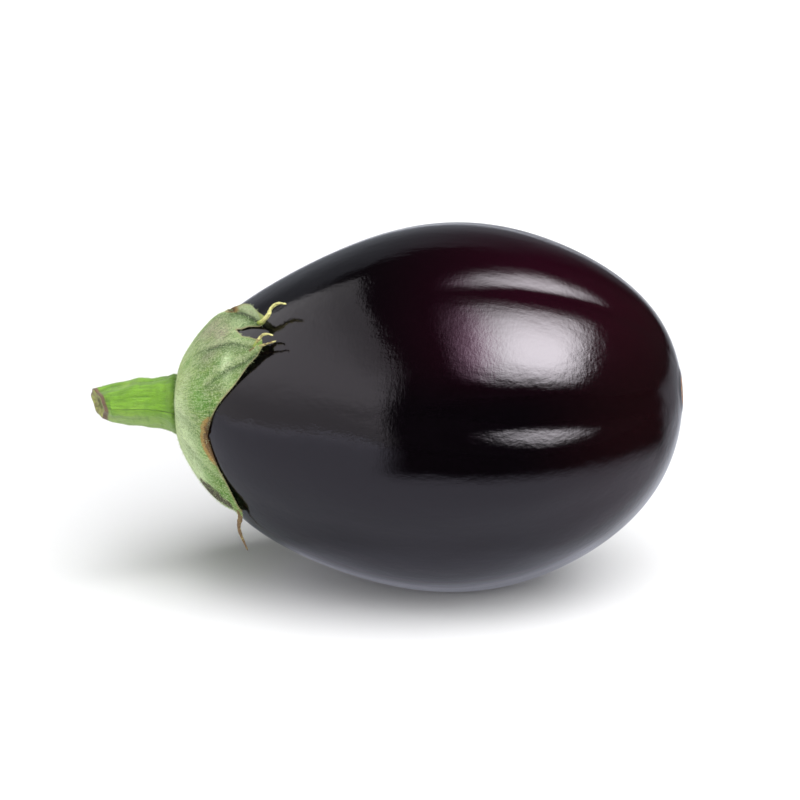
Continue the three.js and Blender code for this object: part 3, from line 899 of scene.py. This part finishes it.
def thread_finish():
    """Green at the root, then yellow, and browner with age."""
    finish = Finish("dry_thread")
    place = finish.place()
    dry, brown = finish.mark("dry"), finish.mark("brown")
    fibre = finish.noise(place, 1400, 3)
    colour = finish.blend(dry.above(0.05, 0.35), (0.150, 0.210, 0.028), (0.500, 0.480, 0.180))
    browned = (brown * 0.9 + fibre - 0.5).above(0.1, 0.9)
    spotted = (0.4 * brown + fibre).above(0.62, 0.8) * 0.85
    colour = finish.blend(browned, colour, (0.230, 0.175, 0.085))
    colour = finish.blend(spotted, colour, (0.110, 0.055, 0.024))
    return finish.surface(Base_Color=colour, Roughness=0.8, Normal=finish.bump(fibre, 0.0002))


def thread_rings(path, root, end, phase):
    """Flattened rings along a path, from the radius of the root to that of the end."""
    share = np.linspace(0, 1, len(path))
    tangent = np.gradient(path, axis=0)
    tangent /= np.linalg.norm(tangent, axis=1, keepdims=True)
    side = np.cross(tangent, np.array([0.3, 0.2, 1.0]))
    side /= np.linalg.norm(side, axis=1, keepdims=True)
    up = np.cross(side, tangent)
    knobs = 1 + 0.1 * np.sin(share * 19 + phase) + 0.07 * np.sin(share * 47 + phase)
    rounded = np.sqrt(np.clip((1 - share) / THREAD_END, 0, 1) * 0.9 + 0.1)
    radius = mix(root, end, share) * knobs * rounded
    turn = np.linspace(0, 2 * np.pi, THREAD_SIDES, endpoint=False)
    wide = np.cos(turn)[None, :, None] * side[:, None]
    thick = THREAD_FLATNESS * np.sin(turn)[None, :, None] * up[:, None]
    return path[:, None] + radius[:, None, None] * (wide + thick)


def threads_piece():
    """All the threads as one piece."""
    points, faces, dry, tone = [], [], [], []
    for (root, end), brown, places in THREADS:
        path = smooth_path(places, THREAD_ROWS)
        rings = thread_rings(path, root, end, phase=len(points))
        first = sum(len(block) for block in points)
        points += [rings.reshape(-1, 3), path[[0, -1]]]
        faces += [face[::-1] for face in ring_faces(THREAD_ROWS, THREAD_SIDES, first)]
        pole = first + THREAD_ROWS * THREAD_SIDES
        faces += cap_faces(pole, first, THREAD_SIDES, False)
        faces += cap_faces(pole + 1, first + (THREAD_ROWS - 1) * THREAD_SIDES, THREAD_SIDES, True)
        dry += [np.repeat(np.linspace(0, 1, THREAD_ROWS), THREAD_SIDES), [0, 1]]
        tone += [np.full(THREAD_ROWS * THREAD_SIDES + 2, brown)]
    marks = {"dry": np.concatenate(dry), "brown": np.concatenate(tone)}
    points = laid(np.concatenate(points))
    threads = new_piece("eggplant_threads", points, faces, thread_finish(), marks)
    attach(threads, "root")


threads_piece()

# %% [markdown]
# ## Stem
#
# The stem is a stalk with six soft ridges and low knobs, broad where it enters the calyx. It was
# cut aslant and the cut dried: the rim is brown and the pith inside has sunk a little. A cylinder
# with a displaced surface would come near, but its end would stay a separate disc. Here the rings
# run on over the rim of the cut and inward to its middle, so the stem is one closed skin.

# %% The shape of the stem
STEM_LENGTH = 25.2
STEM_FOOT_RADIUS = 7.7
STEM_NECK_RADIUS = 6.5
STEM_TIP_RADIUS = 4.9
STEM_SWELL = 0.7  # with its place and its reach as shares of the length
SWELL_AT = 0.135
SWELL_REACH = 0.05
STEM_BEND = 0.8
STEM_CLEARANCE = 0.35  # between its foot and the skin
STEM_RIDGES = 6
STEM_RIDGE_HEIGHT = 0.42
STEM_KNOB_HEIGHT = 0.28
CUT_TO_SIDE = 0.6  # how steeply the cut slants, toward one side and toward the floor
CUT_TO_FLOOR = 0.12
CUT_REACH = 0.22  # the share of the length over which that slant sets in
CUT_RIM_SIZES = (1, 0.985, 0.95, 0.88, 0.79)  # its rings as shares of the radius, inward
CUT_FACE_SIZES = (0.79, 0.68, 0.56, 0.3)
CUT_FACE_DEPTHS = (0, 0, 0.45, 0.7)
STEM_ROWS = 110
RIM_ROWS = 26
FACE_ROWS = 22
STEM_SIDES = 160


def stem_radius(share, angle):
    """Its radius at a share of its length and at an angle round it."""
    swell = STEM_SWELL * bell((share - SWELL_AT) / SWELL_REACH)
    neck = mix(STEM_FOOT_RADIUS, STEM_NECK_RADIUS, ease(0.14, 0.38, share)) + swell
    stalk = mix(neck, STEM_TIP_RADIUS, ease(0.4, 0.95, share))
    ridges = STEM_RIDGE_HEIGHT * np.cos(STEM_RIDGES * angle + 1.6 * share)
    knobs = STEM_KNOB_HEIGHT * np.sin(9 * share + 2 * angle) * np.sin(15 * share - angle + 1)
    return stalk + ease(0.14, 0.3, share) * (ridges + knobs)


def stem_rows():
    """For each ring, from the foot to the middle of the cut: its place, its size, how far it sank."""
    rim = np.linspace(0, 1, RIM_ROWS + 1)[1:]
    face = np.linspace(0, 1, FACE_ROWS + 1)[1:]
    rim_knots = np.linspace(0, 1, len(CUT_RIM_SIZES))
    face_knots = np.linspace(0, 1, len(CUT_FACE_SIZES))
    stalk = (1 - CUT_REACH) * np.linspace(0, 1, STEM_ROWS)
    share = np.concatenate([stalk, 1 - CUT_REACH * (1 - rim), np.ones(FACE_ROWS)])
    rim_size = np.interp(rim, rim_knots, CUT_RIM_SIZES)
    face_size = np.interp(face, face_knots, CUT_FACE_SIZES)
    size = np.concatenate([np.ones(STEM_ROWS), rim_size, face_size])
    face_sunk = np.interp(face, face_knots, CUT_FACE_DEPTHS)
    return share, size, np.concatenate([np.zeros(STEM_ROWS + RIM_ROWS), face_sunk])


def stem_points(s, angle, size, sunk):
    """Rings of points for shares of the length and angles, and the middles of cut and foot."""
    radius = stem_radius(s, angle) * size[:, None]
    side, up = radius * np.cos(angle), radius * np.sin(angle)
    shear = ease(1 - CUT_REACH, 1, s) * (CUT_TO_SIDE * side - CUT_TO_FLOOR * up)
    foot = -HALF_LENGTH - STEM_CLEARANCE
    level = egg_middle(HOLE_ANGLE * DEGREE)
    reach = s * STEM_LENGTH
    bend = STEM_BEND * np.sin(np.pi * np.minimum(1, s / 0.8))
    rise = level + reach * math.sin(TILT) + bend
    rings = np.stack([foot - reach + shear + sunk[:, None], -side, rise + up], -1)
    cut = [foot - STEM_LENGTH + CUT_FACE_DEPTHS[-1], 0, level + STEM_LENGTH * math.sin(TILT)]
    return rings, np.array([cut, [foot, 0, level]])


print("stem:", STEM_LENGTH, "mm long, radius", STEM_FOOT_RADIUS, "to", STEM_TIP_RADIUS, "mm")

# %% [markdown]
# ## Bark
#
# Fresh bark is a bright green that streaks along the stalk, darker at its foot and paler below.
# Painted colours would need unwrapping; instead the noise is read in the angle round the stalk and
# the share of its length, so the streaks bend with it. Three marks tell where the cut face, its
# dried rim and its pith are.


# %% The finish of the stem
def stem_finish():
    """Green bark, and the flesh, the dried rim and the pith of the cut."""
    finish = Finish("stem_bark")
    share = finish.mark("share")
    bark = finish.joined(finish.mark("turn"), share * 6.0, 0.0)
    streaks = finish.noise(finish.scaled(bark, (3.2, 0.35, 1)), 1.6, 4, 0.6)
    lumps = finish.noise(finish.scaled(bark, (0.5, 1, 1)), 2.2, 2)
    fine = finish.noise(finish.scaled(bark, (3.2, 1.2, 1)), 5.0, 4, 0.6)
    clouds = finish.noise(finish.place((0.6, 1, 1)), 160, 3)
    cells = finish.noise(finish.place(), 700, 3)
    flesh = finish.blend(cells.above(0.4, 0.6), (0.33, 0.35, 0.08), (0.20, 0.18, 0.05))
    crust = finish.noise(finish.place(), 900, 2)
    brown = finish.blend(crust, (0.055, 0.022, 0.012), (0.175, 0.100, 0.060))
    colour = finish.blend(streaks.above(0.25, 0.75), (0.070, 0.170, 0.003), (0.155, 0.330, 0.008))
    for amount, tone in (
        (clouds.above(0.45, 0.75) * 0.6, (0.240, 0.360, 0.030)),
        (finish.mark("below").above(0.45, 0.95) * 0.7, (0.260, 0.360, 0.120)),
        ((1 - share.above(0.02, 0.3)) * 0.65, (0.060, 0.125, 0.014)),
        ((1 - lumps.above(0.3, 0.5)) * 0.45, (0.060, 0.150, 0.006)),
        (finish.mark("cut"), flesh),
        ((finish.mark("rim") + 0.35 * (clouds - 0.5)).above(0.35, 0.75), brown),
        (finish.mark("pith") * 0.35, (0.12, 0.085, 0.03)),
    ):
        colour = finish.blend(amount, colour, tone)
    normal = finish.bump(fine, 0.0003, finish.bump(streaks, 0.0008))
    return finish.surface(Base_Color=colour, Roughness=0.55, Normal=normal, IOR=1.45,
                          Sheen_Weight=0.15, Sheen_Roughness=0.5)


# %% The stem
DRY_RIM_SIZE = 0.8  # where on the cut its brown rim is darkest, and how far it reaches
DRY_RIM_REACH = 0.085


def stem_marks(s, angle, size):
    """Numbers for the finish, ring by ring, with those of the two poles at the end."""
    on_face = np.arange(len(size)) >= STEM_ROWS + RIM_ROWS
    whole = lambda ring: np.broadcast_to(ring[:, None], s.shape)
    marks = {  # on the rings, at the middle of the cut and at that of the foot
        "share": (s, 1, 0),
        "turn": (angle, 0, 0),
        "below": (0.5 - 0.5 * np.sin(angle), 0, 0),
        "cut": (whole(on_face).astype(float), 1, 0),
        "rim": (whole(bell((size - DRY_RIM_SIZE) / DRY_RIM_REACH)), 0, 0),
        "pith": (whole(on_face * (1 - ease(0.3, 0.4, size))), 1, 0),
    }
    return {
        mark: np.concatenate([values[::-1].ravel(), ends]) for mark, (values, *ends) in marks.items()}


def stem_piece():
    """The stalk, from the middle of the cut back to its foot."""
    share, size, sunk = stem_rows()
    turn = 2 * np.pi * np.arange(STEM_SIDES) / STEM_SIDES
    s, angle = np.meshgrid(share, turn, indexing="ij")
    rings, poles = stem_points(s, angle, size, sunk)
    points = laid(np.concatenate([rings[::-1].reshape(-1, 3), poles]))
    rows, sides = len(share), STEM_SIDES
    faces = ring_faces(rows, sides)
    faces += cap_faces(rows * sides, 0, sides, True)
    faces += cap_faces(rows * sides + 1, (rows - 1) * sides, sides, False)
    stem = new_piece("eggplant_stem", points, faces, stem_finish(), stem_marks(s, angle, size))
    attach(stem, "root")
    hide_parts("stem")
    return stem


stem = stem_piece()

# %% [markdown]
# ## Hairs
#
# The felt also shows against the light, as a fringe along every edge. Hair curves or particles
# would be the usual way, but neither outlives an export, so thousands of hairs are placed by
# Geometry Nodes: points scattered over the calyx or the stem, and a thin three-sided spike on each
# that leans at random and a little toward the blossom end. The spikes become one plain mesh.


# %% A tree of nodes that grows hairs
HAIR_RADIUS = 0.000045  # metres, at the root
HAIR_LEAN = ((-0.7, -0.9, -0.9), (1.1, 0.9, 0.9))  # the least and the most it leans from upright
HAIR_SIZES = (0.5, 1.0)  # as shares of the full length


def put(tree, kind, settings=None, sockets=None):
    """A node with its settings, and with a value or a link on each of the sockets named."""
    node = tree.nodes.new(kind)
    for name, value in (settings or {}).items():
        setattr(node, name, value)
    for name, value in (sockets or {}).items():
        if isinstance(value, bpy.types.NodeSocket):
            tree.links.new(value, node.inputs[name])
        else:
            node.inputs[name].default_value = value
    return node


def hair_tree(name, finish, seed):
    """Scatters spikes over a mesh. Inputs: how many per square metre, and how long."""
    tree = bpy.data.node_groups.new(name, "GeometryNodeTree")
    socket = tree.interface.new_socket
    socket("Surface", in_out="INPUT", socket_type="NodeSocketGeometry")
    density = socket("Density", in_out="INPUT", socket_type="NodeSocketFloat")
    length = socket("Length", in_out="INPUT", socket_type="NodeSocketFloat")
    socket("Hairs", in_out="OUTPUT", socket_type="NodeSocketGeometry")
    given = put(tree, "NodeGroupInput").outputs
    scatter = put(tree, "GeometryNodeDistributePointsOnFaces", None, {
        "Mesh": given["Surface"], "Density": given["Density"], "Seed": seed})
    spike = put(tree, "GeometryNodeMeshCone", {"fill_type": "NONE"}, {
        "Vertices": 3, "Radius Top": 0.0, "Radius Bottom": HAIR_RADIUS, "Depth": given["Length"]})
    lean = put(tree, "FunctionNodeRandomValue", {"data_type": "FLOAT_VECTOR"}, {
        "Min": HAIR_LEAN[0], "Max": HAIR_LEAN[1], "Seed": seed + 1})
    direction = put(tree, "ShaderNodeVectorMath", {"operation": "ADD"}, {
        0: scatter.outputs["Normal"], 1: lean.outputs["Value"]})
    align = put(tree, "FunctionNodeAlignRotationToVector", {"axis": "Z"}, {
        "Vector": direction.outputs[0]})
    size = put(tree, "FunctionNodeRandomValue", None, {
        2: HAIR_SIZES[0], 3: HAIR_SIZES[1], "Seed": seed + 2})
    plant = put(tree, "GeometryNodeInstanceOnPoints", None, {
        "Points": scatter.outputs["Points"], "Instance": spike.outputs["Mesh"],
        "Rotation": align.outputs["Rotation"], "Scale": size.outputs[1]})
    real = put(tree, "GeometryNodeRealizeInstances", None, {"Geometry": plant.outputs["Instances"]})
    dress = put(tree, "GeometryNodeSetMaterial", None, {
        "Geometry": real.outputs["Geometry"], "Material": finish})
    put(tree, "NodeGroupOutput", None, {"Hairs": dress.outputs["Geometry"]})
    return tree, density.identifier, length.identifier


# %% Growing hairs on a piece
def grow(name, ground, finish, density, length, seed):
    """A piece of hairs over another piece."""
    tree, density_input, length_input = hair_tree(name, finish, seed)
    source = ground.copy()
    source.data = ground.data.copy()
    bpy.context.scene.collection.objects.link(source)
    modifier = source.modifiers.new("hairs", "NODES")
    modifier.node_group = tree
    modifier[density_input] = float(density)
    modifier[length_input] = float(length)
    graph = bpy.context.evaluated_depsgraph_get()
    mesh = bpy.data.meshes.new_from_object(source.evaluated_get(graph), depsgraph=graph)
    source.modifiers.clear()
    bpy.data.objects.remove(source, do_unlink=True)
    mesh.name = name
    hairs = bpy.data.objects.new(name, mesh)
    bpy.context.scene.collection.objects.link(hairs)
    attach(hairs, "root")
    print(name, "has", len(mesh.polygons), "faces")


def hair_finish(name, colour):
    """Dull, and a little darker in patches."""
    finish = Finish(name)
    tone = finish.noise(finish.place(), 120, 2)
    shade = finish.blend(tone, tuple(0.75 * value for value in colour), colour)
    return finish.surface(Base_Color=shade, Roughness=0.7)


grow("calyx_hairs", calyx, hair_finish("calyx_hair", (0.56, 0.68, 0.36)),
     density=1.4e6, length=0.0009, seed=5)
grow("stem_hairs", stem, hair_finish("stem_hair", (0.25, 0.38, 0.09)),
     density=2.0e6, length=0.0006, seed=11)

# %% [markdown]
# ## Studio
#
# A glossy dark fruit is seen mostly by what it mirrors, so the studio is planned from the skin
# outward: a large soft panel high at the right in front, a tall white board at the left, a dim
# wall behind, and a white table. Area lamps could do the lighting, but a glowing mesh can also be
# brighter in one place than another, which is what gives a mirrored panel its soft edges. In a real
# studio the gloss is toned down with flags and grids; here each panel has two strengths, one for
# what the skin mirrors and one for what it lights.

# %% Panels
PANEL_STEPS = 13  # points along each side of a panel


def panel_mesh(name, corners, spread):
    """A grid through four corners, with UV that runs evenly from the first of them."""
    u, v = (side.ravel()[:, None] for side in np.meshgrid(
        np.linspace(-spread, 1 + spread / 2, PANEL_STEPS), np.linspace(0, 1, PANEL_STEPS)))
    first, second, third, fourth = np.array(corners)
    points = (1 - v) * ((1 - u) * first + u * second) + v * ((1 - u) * fourth + u * third)
    faces = [
        (k, k + 1, k + PANEL_STEPS + 1, k + PANEL_STEPS)
        for k in range(PANEL_STEPS * (PANEL_STEPS - 1)) if (k + 1) % PANEL_STEPS]
    mesh = bpy.data.meshes.new(name)
    mesh.from_pydata(points.tolist(), [], faces)
    layer = mesh.uv_layers.new(name="UVMap").data
    for loop in mesh.loops:
        layer[loop.index].uv = (u[loop.vertex_index, 0], v[loop.vertex_index, 0])
    return mesh


def card(name, corners, mirrored, lighting, shade=None, tint=None, spread=0.0):
    """A flat glowing panel by four corners in metres, as mirrored by gloss and as a light.

    A part with no strength is left out. The shade and the tint are those of the mirrored part.
    The spread is how much of its width the panel goes on at its start, and half of it at its end.
    """
    for part, strength in (("mirrored", mirrored), ("lighting", lighting)):
        if not strength:
            continue
        finish = Finish(f"{name}_{part}")
        glow = finish.node("ShaderNodeEmission", None, {"Strength": strength})
        if part == "mirrored":
            finish.feed(glow.inputs["Strength"], shade(finish) * strength)
            if tint is not None:
                finish.feed(glow.inputs["Color"], tint(finish))
        output = finish.node("ShaderNodeOutputMaterial")
        finish.tree.links.new(glow.outputs[0], output.inputs["Surface"])
        mesh = panel_mesh(finish.material.name, corners, spread)
        mesh.materials.append(finish.material)
        panel = bpy.data.objects.new(mesh.name, mesh)
        bpy.context.scene.collection.objects.link(panel)
        panel.visible_camera = panel.visible_shadow = False
        panel.visible_glossy = part == "mirrored"
        panel.visible_diffuse = part == "lighting"
        panel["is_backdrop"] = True
        print(panel.name, "glows at", strength)


# %% How each panel glows
def across_and_up(finish):
    """Shares across and up a panel."""
    uv = finish.node("ShaderNodeTexCoord").outputs["UV"]
    split = finish.node("ShaderNodeSeparateXYZ", None, {"Vector": Wire(finish, uv)})
    return finish.wire(split, 0), finish.wire(split, 1)


def key_shade(finish):
    """Hottest right of the middle, soft at the left and below, and dimming toward its top."""
    u, v = across_and_up(finish)
    sideways = u.above(-0.277, 0.394) * (0.2 + 0.8 * u.above(-0.018, 0.606))
    sideways = sideways * (1 - u.above(0.78, 1.15))
    return sideways * v.above(0.11, 0.43) * (1 - 0.98 * v.above(0.457, 0.95))


def key_tint(finish):
    """A little red at the left, where the panel is dim and the pigment shows through."""
    u, v = across_and_up(finish)
    return finish.blend(u.above(0.0, 0.4), (1.08, 0.70, 0.92), (1, 1.02, 1.0))


def board_shade(finish):
    """Brightest below half its height, and fading toward a front edge that is further out below."""
    u, v = across_and_up(finish)
    upward = (0.55 + 0.45 * v.above(0.1, 0.35)) * (1 - 0.45 * v.above(0.45, 0.85))
    leaning = 0.13 * (1 - v.above(0.0, 0.8))
    return upward * (1 - (u - leaning).above(0.56, 0.855))


def wall_shade(finish):
    """Fading to the right and, less, upward."""
    u, v = across_and_up(finish)
    return (1 - u.above(0.55, 1.0)) * (1 - 0.35 * v.above(0.2, 0.6))


def wall_tint(finish):
    """A little blue."""
    v = across_and_up(finish)[1]
    return finish.blend(v, (0.94, 1.0, 1.12), (0.94, 1.0, 1.10))


KEY_PANEL = (
    (0.296, -1.638, 0.441), (1.039, -1.193, 0.163), (0.845, 0.651, 1.320), (-0.159, 0.138, 1.852))
LEFT_BOARD = ((-0.8, 0.6, 0.0), (-0.8, -2.5, 0.0), (-0.8, -2.5, 1.28), (-0.8, 0.6, 1.28))
BACK_WALL = ((-2.6, 1.6, 0.0), (0.9, 1.6, 0.0), (0.9, 1.6, 1.9), (-2.6, 1.6, 1.9))
card("key_panel", KEY_PANEL, mirrored=20.0, lighting=4.5, shade=key_shade, tint=key_tint,
     spread=0.3)
card("left_board", LEFT_BOARD, mirrored=1.55, lighting=0.45, shade=board_shade)
card("back_wall", BACK_WALL, mirrored=0.32, lighting=0.2, shade=wall_shade, tint=wall_tint)

# %% [markdown]
# ## Table
#
# The table is a white sheet that runs out to white behind the eggplant. A real one would be a sweep
# of paper, lit from below; here the level square glows a little toward the back. What the skin
# mirrors of the table is a sheet of its own, hidden from the camera, because a small white sheet on
# a dark floor is what gives a glossy fruit its dark lower half.


# %% The table
def flat_square(name, material, level, reach=8.0):
    """A level square round the eggplant."""
    mesh = bpy.data.meshes.new(name)
    corners = ((-reach, -reach), (reach, -reach), (reach, reach), (-reach, reach))
    mesh.from_pydata([(*corner, level) for corner in corners], [], [(0, 1, 2, 3)])
    mesh.materials.append(material)
    square = bpy.data.objects.new(name, mesh)
    bpy.context.scene.collection.objects.link(square)
    square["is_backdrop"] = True
    print(name, "is", 2 * reach, "m wide")
    return square


def white_table():
    """White, and lit from below toward the back, where it is to run out to white."""
    finish = Finish("white_table")
    place = finish.place()
    tone = finish.noise(place, 3, 2)
    colour = finish.blend(tone, (0.77, 0.77, 0.775), (0.79, 0.79, 0.795))
    split = finish.node("ShaderNodeSeparateXYZ", None, {"Vector": place})
    behind = finish.wire(split, 1)
    glow = finish.blend(behind.above(0.08, 0.45), (0, 0, 0), (0.25, 0.25, 0.25))
    glow = finish.blend(behind.above(0.3, 0.9), glow, (0.6, 0.6, 0.6))
    material = finish.surface(
        Base_Color=colour, Roughness=0.6, Emission_Color=glow, Emission_Strength=1.0)
    table = flat_square("white_table", material, 0.0)
    table.visible_glossy = False


def mirrored_table():
    """What the skin sees of the table: a white sheet that ends a hand's width in front, with a
    painted glow round the fruit's foot, where the sheet lies in its shadow.
    """
    finish = Finish("mirrored_table")
    split = finish.node("ShaderNodeSeparateXYZ", None, {"Vector": finish.place()})
    x, y = finish.wire(split, 0), finish.wire(split, 1)
    away = (x * x + y * y) ** 0.5
    front = ((0.707 * x - 0.707 * y) / away).above(0.25, 0.5)
    white = finish.blend(x.above(0.07, 0.2) * 0.5, (0.53, 0.55, 0.61), (0, 0, 0))
    colour = finish.blend(away.above(0.11, 0.175) * front, white, (0.006, 0.006, 0.006))
    # painted light: a glow round the foot of the fruit, which lifts the shadow there in what the skin
    # mirrors
    glow = finish.blend(away.above(0.042, 0.056), (0.20, 0.20, 0.24), (0, 0, 0))
    material = finish.surface(Base_Color=colour, Roughness=1.0, Specular_IOR_Level=0.0,
                              Emission_Color=glow, Emission_Strength=1.0)
    sheet = flat_square("mirrored_table", material, 0.0002)
    sheet.visible_camera = sheet.visible_diffuse = sheet.visible_shadow = False


white_table()
mirrored_table()

# %% [markdown]
# ## Low light
#
# The felt under the calyx would be dark if all light came from above. A low panel at the left
# lights it and clears the shadow there. A stronger board would do that too, but the skin would
# mirror it, and this panel has no mirrored part.

# %% The low panel
LOW_FILL = ((-0.75, -0.1, 0.0), (-0.4, -0.8, 0.0), (-0.4, -0.8, 0.2), (-0.75, -0.1, 0.2))
card("low_fill", LOW_FILL, mirrored=0.0, lighting=5.5)

# %% [markdown]
# ## Room
#
# The room round the set is white to the camera and nearly dark to the eggplant. A white world would
# be simpler, but it would grey the dark skin from every side. A Light Path node tells the two apart.

# %% The room
ROOM_LIGHT = 0.02  # of the brightness that the camera sees


def room():
    """White behind everything, and a faint light from all sides."""
    world = bpy.data.worlds.new("room")
    bpy.context.scene.world = world
    world.use_nodes = True
    tree = world.node_tree
    tree.nodes.clear()
    to_camera = put(tree, "ShaderNodeLightPath").outputs["Is Camera Ray"]
    strength = put(tree, "ShaderNodeMapRange", None, {
        "Value": to_camera, "To Min": ROOM_LIGHT, "To Max": 1.0})
    glow = put(tree, "ShaderNodeBackground", None, {
        "Color": (1, 1, 1, 1), "Strength": strength.outputs[0]})
    put(tree, "ShaderNodeOutputWorld", None, {"Surface": glow.outputs[0]})
    print("the room lights with", ROOM_LIGHT)


room()

# %% [markdown]
# ## Camera
#
# A long lens from about a metre away, a little to the right of the middle and looking down by 17
# degrees, so the lengths of the fruit and the stem keep their proportions. A short lens close by
# would swell the near side. The frame is moved by shifting the lens, which leaves the perspective
# as it is, where turning the camera would change it.

# %% The camera
CAMERA_AZIMUTH = 5 * DEGREE
CAMERA_ELEVATION = 17 * DEGREE
CAMERA_DISTANCE = 1.0
FRAME_WIDTH = 0.2198  # metres across the frame at the fruit
LOOKS_AT = Vector((-0.00339, 0, 0.0499))
LENS_SHIFT = (-0.0439, 0.0128)


def camera():
    """A lens that spans the frame, aimed from its azimuth and elevation."""
    lens = bpy.data.cameras.new("camera")
    lens.sensor_width = 36
    lens.lens = lens.sensor_width * CAMERA_DISTANCE / FRAME_WIDTH
    lens.shift_x, lens.shift_y = LENS_SHIFT
    lens.clip_start = 0.01
    back = Vector((
        math.sin(CAMERA_AZIMUTH) * math.cos(CAMERA_ELEVATION),
        -math.cos(CAMERA_AZIMUTH) * math.cos(CAMERA_ELEVATION),
        math.sin(CAMERA_ELEVATION)))
    eye = bpy.data.objects.new("camera", lens)
    bpy.context.scene.collection.objects.link(eye)
    eye.location = LOOKS_AT + CAMERA_DISTANCE * back
    eye.rotation_euler = (-back).to_track_quat("-Z", "Y").to_euler()
    bpy.context.scene.camera = eye
    print("lens:", round(lens.lens, 1), "mm, from", eye.location)


camera()
bpy.context.scene.view_settings.view_transform = "Standard"
bpy.context.scene.view_settings.look = "None"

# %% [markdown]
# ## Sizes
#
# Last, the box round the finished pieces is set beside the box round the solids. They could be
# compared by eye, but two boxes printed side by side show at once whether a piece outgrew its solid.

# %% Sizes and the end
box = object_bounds()
plain = lambda corners: [[float(value) for value in corner] for corner in corners]
{"cad": plain(CAD_BOX), "visual": plain(box)}
print("solids:", plain(CAD_BOX), "pieces:", plain(box))
